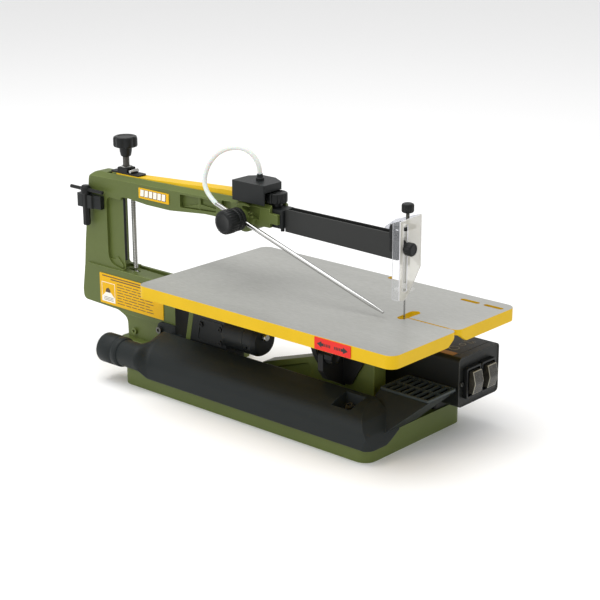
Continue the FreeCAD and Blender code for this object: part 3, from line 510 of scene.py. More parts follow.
def make_c_frame():
    """Upright, upper arm shell and lower shelf in one casting."""
    side = outline([(-304, 220.4, 12), (-316, 132, 90), (-323.4, 57.5, 10), (-262, 54.5, 14), (-245, 48, 10),
                    (-244, 25), (-160, 25), (-160, 101), (-250, 101, 4), (-250, 196.4, 3), (-238, 197, 6),
                    (-205, 194.4, 30), (-166, 194.2, 30), (-109, 199.7, 40), (-66, 200, 12), (-10, 201),
                    (-10, 226), (-67, 226, 3), (-120, 224.6, 20)])
    casting = prism(side, "y", -15, 15)
    shelf_side = outline([(-317, 101), (-321.8, 70, 20), (-321, 57.3, 10), (-262, 55.5, 8), (-246, 53, 6),
                          (-160, 53), (-160, 101)])
    shelf = prism(shelf_side, "y", -17, 17)
    lips = [shaped([(-315, 100), (-160, 100), (-160, 105.4, 1), (-312, 105.4, 3)], "y", low, low + 3.6)
            for low in (-17, 13.4)]
    boss = turned([(16.4, 0), (16.4, 33.5), (15.4, 35), (8.5, 35), (8.5, 41.4)],
                  (PIVOT_X, 15, UPPER_PIVOT_Z), (0, -1, 0), 64)
    tongue = block(-11, 1, -15, -11.3, 206, 217)
    fused(casting, shelf, boss, tongue, *lips)
    bay_side = outline([(-279.5, 199), (-262, 199.5), (-66, 203), (-52, 196), (-38, 196), (-30, 199),
                        (0, 199), (0, 245), (-279.5, 245)])
    web_recess = outline([(-275.5, 112, 14), (-247, 106, 4), (-247, 193), (-275.5, 193, 7)])
    side_pocket = outline([(-149, 200.6, 2), (-91, 204, 3), (-91, 217.6, 3), (-149, 216.2, 2)])
    cutters = [
        prism(bay_side, "y", -8.8, 8.8),
        block(-40, 10, -11, 11, 200, 245),
        block(-264, -150, -10, 10, 80, 120),
        block(-254, -234, -6, 6, 190, 205),
        chamfer_wedge(-1), chamfer_wedge(1),
        prism(web_recess, "y", -20, -11.2),
        shaped([(-271, 107, 4), (-240, 107), (-240, 193.8), (-271, 193.8, 4)], "y", -8, 20),
        prism(side_pocket, "y", -20, -9.9),
        prism(side_pocket, "y", 9.9, 20),
        shaped([(-83, 208.5, 2), (-68, 211, 2), (-68, 221, 2), (-83, 220, 2)], "y", -20, -9.9),
        shaped([(-26, 206.5, 2), (-23, 221.2, 2), (-50, 221.2, 3), (-41, 214, 4)], "y", -20, -11.4),
    ]
    carved(casting, *cutters)
    finish(casting, "c_casting", "frame", GREEN, ["c_frame_casting"], 1.3, 3)
    # The front face of the leg, under the table, is painted black as painted shade for that shaded face.
    paint_where(casting, BLACK_PLASTIC,
                lambda middle, normal: normal.x > 0.9 and -162 < middle.x < -158 and middle.z < 102)
    ribs = [
        shaped([(-276, 108), (-252, 108), (-252, 111.5), (-262, 121.5, 2), (-265, 117, 3), (-276, 116)], "y",
               -12.8, -11),
        prism([(-122, 202.2), (-118, 202.4), (-118, 217.2), (-122, 217)], "y", -12.6, -9.7),
        prism([(-148, 201), (-92, 204.4), (-92, 207), (-120, 209)], "y", -12.2, -9.7),
    ]
    finish(gathered(*ribs), "web_ribs", "frame", GREEN, (), 0.8, 2)


def make_pillar():
    """Front pillar between the base and the tilt bracket."""
    x0, x1, y0, y1, z0, z1 = extent("front_pillar")
    side = outline([(x0, z0), (x0, 44, 3), (56, 69.5, 6), (62, 72, 6), (x1, z1, 3), (x1, z0)])
    pillar = prism(side, "y", y0, y1)
    carved(pillar, block(82, 101, y0 - 1, y1 + 1, 54, 82),
           shaped([(-6, 30, 3), (48, 30, 3), (48, 60, 4), (-6, 42, 3)], "y", y0 - 1, y0 + 3))
    finish(pillar, "front_pillar_web", "frame", GREEN, ["front_pillar"], 1.0, 3)


def make_upright_shade_strip():
    """Dark strip inside the upright, a painted shade for the dark gap along the web's inner edge."""
    x0, x1, y0, y1, z0, z1 = extent("upright_strip")
    strip = slab(x0, x1, y0, y1, 0.5, "z", z0, z1)
    finish(strip, "upright_shade_strip", "frame", BLACK_PLASTIC, ["upright_strip"])


def flat_mark(points, y, thickness=0.12):
    """Thin printed shape on a near face, from X-Z points."""
    return prism(points, "y", y - thickness, y + 0.02)


def bar_mark(x0, x1, z0, z1, y):
    """Thin printed bar on a near face."""
    return flat_mark([(x0, z0), (x1, z0), (x1, z1), (x0, z1)], y)


def leaning_row(start, width, z0, z1, y, count=6, pitch=7.2, lean=0.8):
    """Row of equal blocks that lean to the right, printed on a near face."""
    marks = []
    for index in range(count):
        left = start + pitch * index
        right = left + width
        marks.append(flat_mark([(left, z0), (right, z0), (right + lean, z1), (left + lean, z1)], y))
    return gathered(*marks)


def make_name_plate():
    """Yellow plate with plain white blocks and dark shadows instead of a name."""
    x0, x1, y0, y1, z0, z1 = extent("name_plate")
    plate = slab(x0, x1, z0, z1, 0.8, "y", y0, y1)
    finish(plate, "name_plate_body", "frame", LABEL, ["name_plate"], 0.2, 2)
    low = z0 + 2.9
    dark = leaning_row(x0 + 3.4, 6, low - 0.6, low + 8.1, y0)
    white = leaning_row(x0 + 3, 5.6, low, low + 7.8, y0 - 0.1)
    finish(dark, "name_plate_shadow", "frame", SIGN_BLACK)
    finish(white, "name_plate_blocks", "frame", LABEL_WHITE)


def make_instruction_plate():
    """Orange-yellow plate with plain rows and a simple pictogram, without any lettering."""
    x0, x1, y0, y1, z0, z1 = extent("instruction_plate")
    plate = slab(x0, x1, z0, z1, 0.8, "y", y0, y1)
    finish(plate, "instruction_plate_body", "frame", LABEL, ["instruction_plate"], 0.2, 2)
    rows = [bar_mark(x0 + 5, x1 - 14, z1 - 3.2, z1 - 2.0, y0), bar_mark(x0 + 20, x1 - 30, z1 - 6.2, z1 - 5.0,
                                                                        y0)]
    for row in range(8):
        level = z1 - 9.6 - row * 3.4
        start = x0 + 31
        for word in range(5):
            reach = 10.5 + 3.2 * math.sin(2.1 * row + 1.7 * word)
            if start + reach > x1 - 3:
                break
            rows.append(bar_mark(start, start + reach, level - 0.4, level + 0.4, y0))
            start += reach + 2.0
    finish(gathered(*rows), "instruction_rows", "frame", LABEL_PRINT)
    panel = bar_mark(x0 + 3.5, x0 + 27, z0 + 3, z1 - 10.5, y0 - 0.01)
    carved(panel, prism([(x0 + 4.1, z0 + 3.6), (x0 + 26.4, z0 + 3.6), (x0 + 26.4, z1 - 11.1),
                         (x0 + 4.1, z1 - 11.1)], "y", y0 - 1, y0 + 1))
    hill = flat_mark([(x0 + 4, z0 + 3.4), (x0 + 26.5, z0 + 3.4), (x0 + 26.5, z0 + 9), (x0 + 19, z0 + 15.5),
                      (x0 + 11, z0 + 15.5), (x0 + 4, z0 + 9)], y0 - 0.02)
    finish(gathered(panel, hill), "pictogram_panel", "frame", LABEL_WHITE)
    marks = [flat_mark([(x0 + 10, z0 + 15), (x0 + 19, z0 + 15), (x0 + 18, z0 + 19), (x0 + 15, z0 + 21),
                        (x0 + 11, z0 + 19)], y0 - 0.05)]
    marks += [bar_mark(x0 + 7, x0 + 24, z0 + 5.0 + 1.8 * k, z0 + 5.5 + 1.8 * k, y0 - 0.12) for k in range(3)]
    finish(gathered(*marks), "pictogram_mark", "frame", LABEL_PRINT)


make_base()
make_c_frame()
make_pillar()
make_upright_shade_strip()
make_name_plate()
make_instruction_plate()
dress("frame_screws", BLACK_METAL)
paint_where(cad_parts["frame_screws"], GREEN, lambda middle, normal: middle.y > -20 and middle.z < 40)

# ---------------------------------------------------------------- fixed channel, pump housing and its knobs


def make_channel():
    """Open-topped satin channel with rolled top edges."""
    x0, x1, y0, y1, z0, z1 = extent("guide_channel")
    outer = prism([(x0, z0 + 3.1), (x1, z0), (x1, z1 - 0.7), (x0, z1)], "y", y0, y1)
    inner = prism([(x0 - 1, z0 + 4.6), (x1 + 1, z0 + 1.5), (x1 + 1, z1 + 8), (x0 - 1, z1 + 8)],
                  "y", y0 + 1.5, y1 - 1.5)
    carved(outer, inner)
    finish(outer, "guide_channel_rail", "frame", CHANNEL_METAL, ["guide_channel"], 0.4, 2)


def make_channel_root():
    """Clamp block where the channel enters the casting."""
    x0, x1, y0, y1, z0, z1 = extent("channel_root_block")
    root = shaped([(x0, y0, 1), (x1, y0, 3), (x1, y1, 3), (x0, y1, 1)], "z", z0, z1)
    carved(root, block(x0 - 2, x1 + 2, -4.6, 4.6, z0 + 1.8, z1 - 2.5))
    finish(root, "channel_root", "frame", BLACK_PLASTIC, ["channel_root_block"], 0.8, 3)


def make_pump_housing():
    """Faceted pump cover with a bay over the clamp knob."""
    x0, x1, y0, y1, z0, z1 = extent("pump_housing")
    plan = outline([(x0, y0, 1.5), (x1, y0, 1.5), (x1, 8, 2), (-31, y1, 2), (-50, y1, 2), (x0, 6, 2)])
    cover = prism(plan, "z", z0, z1)
    carved(cover, block(-27.5, 5, y0 + 1.5, 30, 215, 239.5))
    carved(cover, shaped([(-59, -20), (-31, -20), (-31, 15), (-48, 15), (-59, 4)], "z", 220, 242))
    finish(cover, "pump_cover", "frame", BLACK_PLASTIC, ["pump_housing"], 0.9, 3)


def make_pump_port():
    """Barbed hose port on the pump cover."""
    x0, x1, y0, y1, z0, z1 = extent("pump_port")
    centre = ((x0 + x1) / 2, (y0 + y1) / 2, z0)
    profile = [(4.6, 0), (4.6, 2.4), (4.1, 3.0), (3.5, 3.2), (3.5, 5.2), (3.2, z1 - z0)]
    finish(turned(profile, centre, (0, 0, 1)), "pump_port_barb", "frame", BLACK_PLASTIC,
           ["pump_port"], 0.2, 2)


def ribbed_knob(start, direction, radius, height, ribs, depth, rim=0.14, dish=0.5):
    """Barrel-shaped knob with chamfered rims, an even grip and a shallow dished top."""
    edge = rim * height
    profile = [(radius - 1.6, 0), (radius - 0.5, edge * 0.35, 0.4), (radius, edge, 1),
               (radius, height - edge, 1), (radius - 0.5, height - edge * 0.35, 0.4), (radius - 1.7, height),
               (radius - 3.0, height), (radius - 3.6, height - dish), (radius * 0.25, height - dish)]
    return turned(profile, start, direction, max(96, 8 * ribs), ribs, depth, 1.6)


def make_channel_knob():
    """Ribbed clamp knob at the rear of the channel."""
    knob = ribbed_knob((-13.2, 0, 226.6), (0, 0, 1), 12, 11.4, 18, 0.9)
    fused(knob, turned([(6, 0), (6, 5)], (-13.2, 0, 222), (0, 0, 1)))
    finish(knob, "channel_clamp_knob", "channel_screw", KNOB_PLASTIC, ["channel_knob"])


make_channel()
make_channel_root()
make_pump_housing()
make_pump_port()
make_channel_knob()

# ---------------------------------------------------------------- upper rocking arm and blade tension


def make_upper_arm():
    """Deep yellow rear beam with a slim dark bar that runs inside the channel."""
    x0, x1, y0, y1, z0, z1 = extent("upper_arm_beam")
    side = outline([(x0, 210.6), (-66, 205.6), (-58, 204), (-58, 222), (-64, 222), (-64.6, z1 - 0.2, 1),
                    (-85, 230.8, 6), (-226, 222.5, 12), (x0, 222.4)])
    beam = prism(side, "y", y0, y1)
    hub = turned([(10, 0), (10, y1 - y0)], (PIVOT_X, y0, UPPER_PIVOT_Z), (0, 1, 0))
    waist = prism([(-60, 203), (-34, 203), (-34, 214), (-60, 220)], "y", y0, y1)
    fused(beam, hub, waist)
    carved(beam, block(-251, -236, -4, 4, 200, 230))
    finish(beam, "upper_beam_rear", "upper_arm", YELLOW, ["upper_arm_beam"], 0.9, 3)
    tail = shaped([(x0 - 0.4, 212), (-263, 212), (-263, 222.7), (x0 - 0.4, 222.6, 2)], "y", y0 - 0.2,
                  y1 + 0.2)
    finish(tail, "upper_beam_tail", "upper_arm", GREEN, (), 0.5, 2)
    bar = prism([(-40, 203.8), (-20, 205.5), (x1, 207.4), (x1, 212.6), (-20, 213), (-40, 213.8)], "y", -3.2,
                3.2)
    carved(bar, block(158, 172, -1.6, 1.6, 200, 220))
    finish(bar, "upper_beam_bar", "upper_arm", BLACK_METAL, (), 0.5, 2)


def make_saddle():
    """Bent bracket and cross pin that carry the tension spindle."""
    plate = shaped([(-274, -7, 1.5), (-226, -7, 3), (-226, 7, 3), (-274, 7, 1.5)], "z", 222.6, 224.4)
    cheeks = [shaped([(-262, 223), (-246, 223), (-246, 230, 1.5), (-262, 230, 1.5)], "y", low, low + 2)
              for low in (-7, 5)]
    bridge = block(-261.5, -246.5, -6, 6, 228.6, 230)
    fused(plate, bridge, *cheeks)
    carved(plate, round_bar((SPINDLE_X, 0, 215), (SPINDLE_X, 0, 240), 4.4))
    finish(plate, "saddle_bracket", "upper_arm", BLACK_METAL, ["tension_saddle"], 0.4, 2)
    pin = turned([(1.7, 0), (2.2, 0.6), (2.2, 12.4), (1.7, 13)], (-241, -6.5, 226.7), (0, 1, 0))
    finish(pin, "saddle_pin", "upper_arm", BRIGHT_STEEL)
    washer = turned([(6.4, 0), (7, 0.4), (7, 1.0), (6.4, 1.4)], (SPINDLE_X, 0, 230), (0, 0, 1), 6)
    carved(washer, round_bar((SPINDLE_X, 0, 228), (SPINDLE_X, 0, 233), 4.4))
    finish(washer, "saddle_nut", "upper_arm", BRIGHT_STEEL)


def thread(start, end, radius, pitch, depth):
    """Round bar with an even thread-like ripple."""
    run = Vector(end) - Vector(start)
    turns = int(run.length / pitch)
    profile = []
    for turn in range(turns):
        level = turn * pitch
        profile += [(radius - depth, level), (radius, level + 0.35 * pitch), (radius, level + 0.6 * pitch)]
    profile.append((radius - depth, run.length))
    return turned(profile, start, run, 32)


def make_tension_knob():
    """Lobed tension knob with its collar and threaded spindle."""
    base = 254
    knob = turned([(11.5, 0), (13.8, 0.8, 0.6), (14.5, 2.2, 1), (14.5, 10.4, 1), (13.8, 12.2, 0.6),
                   (12.2, 13), (9.4, 13), (8.8, 12.4), (1.0, 12.3)], (SPINDLE_X, 0, base), (0, 0, 1), 168, 7,
                  1.3, 2.6)
    collar = turned([(5.4, -11), (6.2, -10), (7.2, -5), (7.6, 0.2)], (SPINDLE_X, 0, base), (0, 0, 1))
    fused(knob, collar)
    finish(knob, "tension_knob_grip", "tension_screw", KNOB_PLASTIC, ["tension_knob"], 0.25, 2)
    spindle = thread((SPINDLE_X, 0, 225), (SPINDLE_X, 0, 244), 4, 1.25, 0.35)
    finish(spindle, "tension_spindle", "tension_screw", SPINDLE_STEEL)


def make_tie_rod():
    """Closely coiled tie rod with a flat eye at each end."""
    x0, x1, y0, y1, z0, z1 = extent("tension_rod")
    middle = (x0 + x1) / 2
    coil = thread((middle, 0, 107), (middle, 0, 200), 2.95, 2.0, 0.8)
    ends = [round_bar((middle, 0, z0 + 6), (middle, 0, 108), 1.6), round_bar((middle, 0, 199),
                                                                             (middle, 0, z1 - 6), 1.6)]
    eyes = []
    for level in (z0 + 4.2, z1 - 4.2):
        eye = turned([(3.6, 0), (4.2, 0.6), (4.2, 3.4), (3.6, 4)], (middle, -2, level), (0, 1, 0))
        eyes.append(carved(eye, round_bar((middle, -4, level), (middle, 4, level), 1.9)))
    finish(gathered(coil, *ends, *eyes), "tie_rod_coil", "tie_rod", BRIGHT_STEEL,
           ["tension_rod"])


make_upper_arm()
make_saddle()
make_tension_knob()
make_tie_rod()
dress("upper_pivot_pin", SCREW_STEEL)
dress("upper_arm_pins", SCREW_STEEL)

# ---------------------------------------------------------------- lower arm, drive and motor


def make_gearbox():
    """Sloping gearbox cover with a raised rib and a far-side bearing boss."""
    low = shaped([(-120.7, 25), (-57.2, 25), (-57.2, 84), (-108.9, 84)], "y", -37.5, -9)
    tall = shaped([(-110.2, 76), (-57.2, 76), (-57.2, 90, 3), (-107.7, 90, 4)], "y", -37.5, -12)
    bearing = slab(-119, -94, 44, 76, 4, "y", -10, 16.5)
    rim = shaped([(-104, 58, 3), (-62, 58, 3), (-62, 85, 3), (-98, 85, 3)], "y", -38.3, -36.5)
    carved(rim, shaped([(-101.5, 60, 2), (-64, 60, 2), (-64, 83, 2), (-96.5, 83, 2)], "y", -40, -34))
    fused(low, tall, bearing, rim)
    carved(low, round_bar((-110, -9.5, 60), (-110, 20, 60), 5.05))
    finish(low, "gearbox_cover", "frame", BLACK_PLASTIC, ["gearbox_housing"], 1.0, 3)


def make_motor_bracket():
    """Slanted green motor bracket behind the duct."""
    x0, x1, y0, y1, z0, z1 = extent("motor_bracket")
    web = shaped([(-128.2, z0), (-121.1, z0), (-108.1, z1, 2), (-115.2, z1, 2)], "y", y0, y1)
    finish(web, "motor_bracket_web", "frame", GREEN, ["motor_bracket"], 0.8, 2)


def make_lower_arm():
    """Lower rocking lever: a wide green rear part under the shelf's lips and a slim bar forward of it."""
    rear = prism([(-262, 97), (-166, 94.2), (-166, 102.3), (-262, 104.5)], "y", -9, 9)
    bar = prism([(-253, 95.5), (-45, 87), (153, 90.1), (153, 97.5), (-45, 97), (-253, 104.5)], "y", -5, 5)
    nose = block(150, 168, -3.2, 3.2, 90.6, 97.4)
    hub = turned([(8.5, 0), (8.5, 10)], (PIVOT_X, -5, LOWER_PIVOT_Z), (0, 1, 0))
    fused(rear, bar, nose, hub)
    carved(rear, block(-256, -236, -2.4, 2.4, 88, 110), block(158, 172, -1.6, 1.6, 85, 105),
           round_bar((PIVOT_X, -10, LOWER_PIVOT_Z), (PIVOT_X, 10, LOWER_PIVOT_Z), 3.1))
    finish(rear, "lower_lever", "lower_arm", GREEN, ["lower_arm_beam"], 0.7, 2)


def make_motor():
    """Motor can with cooling slots, a stepped end cap and a bright shaft end."""
    axis_y = -26
    axis_z = 75
    radius = 19
    profile = [(radius, 0), (radius, 30), (radius - 0.7, 30.6), (radius - 0.7, 32), (radius, 32.6),
               (radius, 42), (radius - 0.8, 44.5), (radius - 3, 48)]
    can = turned(profile, (-57, axis_y, axis_z), (1, 0, 0), 72)
    slots = []
    for index in range(5):
        angle = math.radians(200 + 32 * index)
        y = axis_y + radius * math.cos(angle)
        z = axis_z + radius * math.sin(angle)
        slots.append(prism([(y - 2, z - 2), (y + 2, z - 2), (y + 2, z + 2), (y - 2, z + 2)], "x", -21, -15))
    carved(can, block(-60, -30, -12.4, 5, 20, 110), *slots)
    finish(can, "motor_can", "frame", BLACK_PLASTIC, ["motor_body"], 0.5, 2)
    shaft = turned([(4, 0), (4, 3.4), (3.4, 4.2), (1, 4.2)], (-9.3, axis_y, 79), (1, 0, 0))
    finish(shaft, "motor_shaft_end", "frame", BRIGHT_STEEL)


make_gearbox()
make_motor_bracket()
make_motor()
make_lower_arm()
for hidden in ("lower_pivot_bracket", "drive_yoke", "rear_tilt_post"):
    dress(hidden, BLACK_METAL)
for hidden in ("lower_arm_pins", "lower_pivot_pin", "crank_disc", "tilt_pins"):
    dress(hidden, SCREW_STEEL)

# ---------------------------------------------------------------- blade and its clamps


def make_blade():
    """Thin blade with fine teeth on its front edge."""
    x0, x1, y0, y1, z0, z1 = extent("saw_blade")
    pitch = 1.6
    teeth = []
    level = z1
    while level > z0 + pitch:
        teeth += [(x1, level), (x1 - 0.7, level - 0.3 * pitch)]
        level -= pitch
    points = [(x0, z0), (x0, z1)] + teeth + [(x1, z0)]
    finish(prism(points, "y", y0, y1), "saw_blade_strip", "blade_set", BLADE_STEEL,
           ["saw_blade"])


make_blade()
for clamp in ("upper_blade_clamp", "lower_blade_clamp"):
    dress(clamp, BLACK_METAL)
dress("clamp_screws", BRIGHT_STEEL)

# ---------------------------------------------------------------- table


def make_table():
    """Ground metal table in a yellow skirt, with its slit, blade opening and insert slots."""
    x0, x1, y0, y1, z0, z1 = extent("table_casting")
    plan = outline([(x0, y0, 11), (x1, y0, 11), (x1, -0.6, 9), (x1 - 16, -0.6), (x1 - 16, 0.6), (x1, 0.6, 9),
                    (x1, y1, 11), (x0, y1, 11)], steps=8)
    table = prism(plan, "z", z0, z1)
    bridge = block(x1 - 13, x1 - 6, -9, 9, z0 + 3, z1 - 1)
    fused(table, bridge)
    inner = outline([(x0 + 5, y0 + 5, 8), (x1 - 5, y0 + 5, 8), (x1 - 5, y1 - 5, 8), (x0 + 5, y1 - 5, 8)])
    eye = outline([(159, -6, 2), (164, -10, 3), (169, -6, 2), (170, 20, 5), (164, 25, 3), (158, 20, 5)])
    slots = [slab(a, b, 85, 91, 2.9, "z", z1 - 3, z1 + 6)
             for a, b in ((172, 196), (202, 226))]
    slots.append(slab(64, 80, 96, 106, 3, "z", z1 - 3, z1 + 6))
    carved(table, prism(inner, "z", z0 - 2, z1 - 8), prism(eye, "z", 100, 140),
           block(164, x1 - 12, -1.2, 1.2, 100, 140),
           prism([(-4, 128), (4, 128), (17, 119), (-17, 119)], "x", x1 - 12, x1 + 2), *slots)
    finish(table, "table_plate", "table", YELLOW, ["table_casting"], 0.7, 3)
    paint_where(table, TABLE_METAL, lambda middle, normal: middle.z > z1 - 0.45 and normal.z > 0.6)
    # The floors of the insert slots get the darker yellow, a painted shade.
    paint_where(table, SLOT_PAINTED_SHADE,
                lambda middle, normal: middle.y > 80 and z1 - 3.5 < middle.z < z1 - 2.5 and normal.z > 0.6)


def make_arrow_sign():
    """Red sign with two outward arrows and plain bars."""
    x0, x1, y0, y1, z0, z1 = extent("arrow_sign")
    plate = slab(x0, x1, z0, z1, 0.6, "y", y0, y1)
    finish(plate, "arrow_sign_plate", "table", SIGN_RED, ["arrow_sign"], 0.15, 2)
    middle_x = (x0 + x1) / 2
    middle_z = (z0 + z1) / 2
    marks = []
    for side in (-1, 1):
        tip = middle_x + side * 20
        marks.append(flat_mark([(tip, middle_z), (tip - side * 6, middle_z + 3.4),
                                (tip - side * 6, middle_z + 1.5), (tip - side * 9, middle_z + 1.5),
                                (tip - side * 9, middle_z - 1.5), (tip - side * 6, middle_z - 1.5),
                                (tip - side * 6, middle_z - 3.4)], y0))
        for bar in range(4):
            near = middle_x + side * (3.2 + 2.1 * bar)
            marks.append(bar_mark(near - 0.6, near + 0.6, middle_z - 1.5, middle_z + 1.5, y0))
    finish(gathered(*marks), "arrow_sign_marks", "table", SIGN_BLACK)


def make_tilt_lock():
    """Ribbed tilt lock knob on its stud."""
    knob = ribbed_knob((98.6, TILT_LOCK_Y, TILT_LOCK_Z), (1, 0, 0), 9, 10.4, 12, 0.8)
    stud = turned([(2.5, 0), (2.5, 16)], (83, TILT_LOCK_Y, TILT_LOCK_Z), (1, 0, 0))
    nut = turned([(5, 0), (5, 3)], (80.5, TILT_LOCK_Y, TILT_LOCK_Z), (1, 0, 0), 6)
    finish(gathered(knob, stud, nut), "tilt_lock_grip", "tilt_lock", KNOB_PLASTIC,
           ["tilt_lock_knob"])


def make_bracket():
    """Tilt bracket plate on the pillar, with its foot and a gusset along the pillar's near face."""
    plate = shaped([(-52, 72, 4), (-44, 61, 3), (-37.5, 58), (-15.4, 46), (-15.4, 80), (16, 80),
                    (16, 116, 2), (8, 122, 3), (-8, 122, 3), (-46, 98, 8), (-52, 90, 5)], "x", 91, 98)
    carved(plate, block(90, 99, -7, 7, 79, 106.5))
    foot = block(91, 98, -15, 16, 73, 81)
    gusset = shaped([(92, 50, 2), (108, 50, 3), (127, 82, 4), (127, 101, 4), (92, 101)], "y", -18.5, -15.2)
    fused(plate, foot, gusset)
    carved(plate, block(90, 99, -7, 7, 81.2, 106.5), round_bar((88, 0, 114), (100, 0, 114), 3),
           round_bar((88, TILT_LOCK_Y, TILT_LOCK_Z), (100, TILT_LOCK_Y, TILT_LOCK_Z), 2.6))
    finish(plate, "tilt_bracket_plate", "frame", BLACK_METAL, ["tilt_bracket"], 0.6, 2)


make_table()
make_bracket()
make_arrow_sign()
make_tilt_lock()
dress("table_trunnions", BLACK_METAL)

# ---------------------------------------------------------------- front end: bracket, hold-down, guard


def make_front_bracket():
    """Thin dark bracket that bridges from the channel's end over the blade clamp."""
    riser = shaped([(150, 200, 1), (158, 200, 1), (158, 232, 1.5), (150, 232, 1.5)], "y", 6, 8.5)
    bridge = shaped([(150, -9.5, 1.5), (172.4, -9.5, 3), (172.4, 8.5, 3), (150, 8.5, 1.5)], "z", 228.5, 232)
    cheek = slab(151, 158, 204, 220, 1, "y", -9.5, -6)
    lug = shaped([(156, 206, 2), (172.4, 206, 4), (172.4, 219, 4), (156, 219, 2)], "y", -16.5, -9.1)
    neck = block(150, 156, -9.5, -6.2, 218, 230)
    fused(bridge, riser, cheek, lug, neck)
    carved(bridge, round_bar((167.5, -6.3, 220), (167.5, -6.3, 245), 2.6),
           round_bar((158, GUARD_KNOB_Y, GUARD_KNOB_Z), (175, GUARD_KNOB_Y, GUARD_KNOB_Z), 2.1))
    finish(bridge, "front_bracket_body", "frame", BLACK_METAL, ["front_bracket"], 0.5, 2)


def make_hold_down():
    """Bright hold-down rod with its forked foot and guide clip."""
    x0, x1, y0, y1, z0, z1 = extent("hold_down_rod")
    radius = (x1 - x0) / 2
    centre = ((x0 + x1) / 2, (y0 + y1) / 2, z0)
    rod = turned([(radius, 0), (radius, z1 - z0 - 0.6), (radius - 0.6, z1 - z0)], centre, (0, 0, 1))
    finish(rod, "hold_down_bar", "hold_down", PALE_STEEL, ["hold_down_rod"])
    plate = shaped([(156.5, -11, 4), (173, -11, 4), (173, 7, 4), (156.5, 7, 2)], "z", 162.5, 165.5)
    carved(plate, block(150, 168.5, -1.6, 1.6, 160, 168))
    clip = slab(164.5, 172.9, -9.6, -3.2, 1.5, "z", 168, 174)
    finish(gathered(plate, clip), "hold_down_fork", "hold_down", PALE_STEEL, ["hold_down_foot"],
           0.4, 2)


def make_guard():
    """Clear guard folded from one sheet, with a slot for its clamp knob."""
    x0, x1, y0, y1, z0, z1 = extent("blade_guard")
    thick = 1.2
    front_x = 173
    front = shaped([(y0, 158, 2), (-14, 157, 3), (-8, 160, 4), (y1, 188, 3), (y1, z1, 1), (y0, 241, 1)], "x",
                   front_x, front_x + thick)
    slot = slab(-16.5, -9.5, 166, 237, 3.4, "x", 170, 177)
    carved(front, slot)
    finish(front, "guard_front_panel", "hold_down", GUARD_FRONT, ["blade_guard"], 0.3, 2)
    paint_where(front, GUARD_RIM, lambda middle, normal: abs(normal.x) < 0.85)
    near = shaped([(164, 158, 1), (front_x + 0.02, 158), (front_x + 0.02, 241), (164, 241, 1)], "y", y0,
                  y0 + thick)
    finish(near, "guard_near_strip", "hold_down", GUARD_SIDE, (), 0.3, 2)
    paint_where(near, GUARD_RIM, lambda middle, normal: abs(normal.y) < 0.85)
    wing = shaped([(front_x - 0.02, 188), (front_x - 0.02, z1), (141, 232, 3), (125, 220, 3), (160, 196, 6)],
                  "y", y1 - thick, y1)
    finish(wing, "guard_far_wing", "hold_down", GUARD_WING, (), 0.3, 2)
    paint_where(wing, GUARD_RIM, lambda middle, normal: abs(normal.y) < 0.75)


def make_small_knobs():
    """Knurled knobs on top of the bracket and on the guard."""
    top = ribbed_knob((166, 0, 245.5), (0, 0, 1), 6.5, 9.5, 12, 0.6, 0.2, 0.4)
    finish(top, "height_knob_grip", "height_knob", KNOB_PLASTIC, ["top_knob"])
    stem = thread((166, 0, 228.5), (166, 0, 245.7), 1.95, 0.8, 0.2)
    finish(stem, "height_knob_stem", "height_knob", SCREW_STEEL)
    grip = turned([(5.2, 0), (6.6, 0.8, 0.5), (7, 1.8, 1), (7, 7.8, 1), (6.5, 8.8, 0.5), (5.4, 9.5),
                   (4.6, 9.5), (4.2, 9.0), (1, 9.0)], (175, GUARD_KNOB_Y, GUARD_KNOB_Z), (1, 0, 0), 128, 16,
                  0.45, 1.5)
    finish(grip, "guard_knob_grip", "guard_screw", KNOB_PLASTIC, ["guard_knob"])
    stud = round_bar((162, GUARD_KNOB_Y, GUARD_KNOB_Z), (175.4, GUARD_KNOB_Y, GUARD_KNOB_Z), 1.95)
    finish(stud, "guard_knob_stud", "guard_screw", SCREW_STEEL)


make_front_bracket()
make_hold_down()
make_guard()
make_small_knobs()

# ---------------------------------------------------------------- air nozzle and hose

NOZZLE_REAR = (-74, -31.7, 220.8)
NOZZLE_TIP = (150, -17, 139.6)
HOSE_PATH = [
    (-0.036, -0.002, 0.255), (-0.036, -0.002, 0.268), (-0.054, -0.008, 0.284), (-0.084, -0.016, 0.277),
    (-0.099, -0.023, 0.254), (-0.095, -0.0295, 0.231), (-0.074, -0.0317, 0.2208),
]
HOSE_DIAMETER = 0.0052


def make_nozzle():
    """Chromed air tube with a tapered tip, its clamp ring and its knob."""
    run = Vector(NOZZLE_TIP) - Vector(NOZZLE_REAR)
    length = run.length
    profile = [(1.6, 0.0), (2.3, 0.05), (2.5, 0.5), (2.5, 0.93 * length), (2.2, 0.945 * length),
               (1.3, length - 0.4), (0.9, length)]
    tube = turned(profile, NOZZLE_REAR, run, 40)
    finish(tube, "nozzle_pipe", "nozzle", CHROME, ["nozzle_tube"])
    ring = turned([(12.4, 0), (13, 0.7, 0.5), (13, 1.5, 1), (13, 4.0, 1), (12.5, 4.5), (12.5, 5.3),
                   (13, 5.8, 1), (13, 8.8, 1), (12.2, 9.9)], (PIVOT_X, -27.4, UPPER_PIVOT_Z), (0, -1, 0),
                  192, 32, 0.4, 1.4)
    finish(ring, "nozzle_clamp_grip", "nozzle", KNOB_PLASTIC, ["nozzle_clamp_ring"])
    knob = turned([(11.5, 0), (13.2, 0.9, 0.4), (13.5, 2.0, 1), (13.5, 11.2, 1), (12.9, 12.7, 0.4),
                   (11.2, 14), (8.6, 14), (8.0, 13.6), (1, 13.5)], (PIVOT_X, -38, UPPER_PIVOT_Z), (0, -1, 0),
                  192, 24, 0.6, 1.5)
    finish(knob, "nozzle_lock_grip", "nozzle_lock", KNOB_PLASTIC, ["nozzle_knob"])


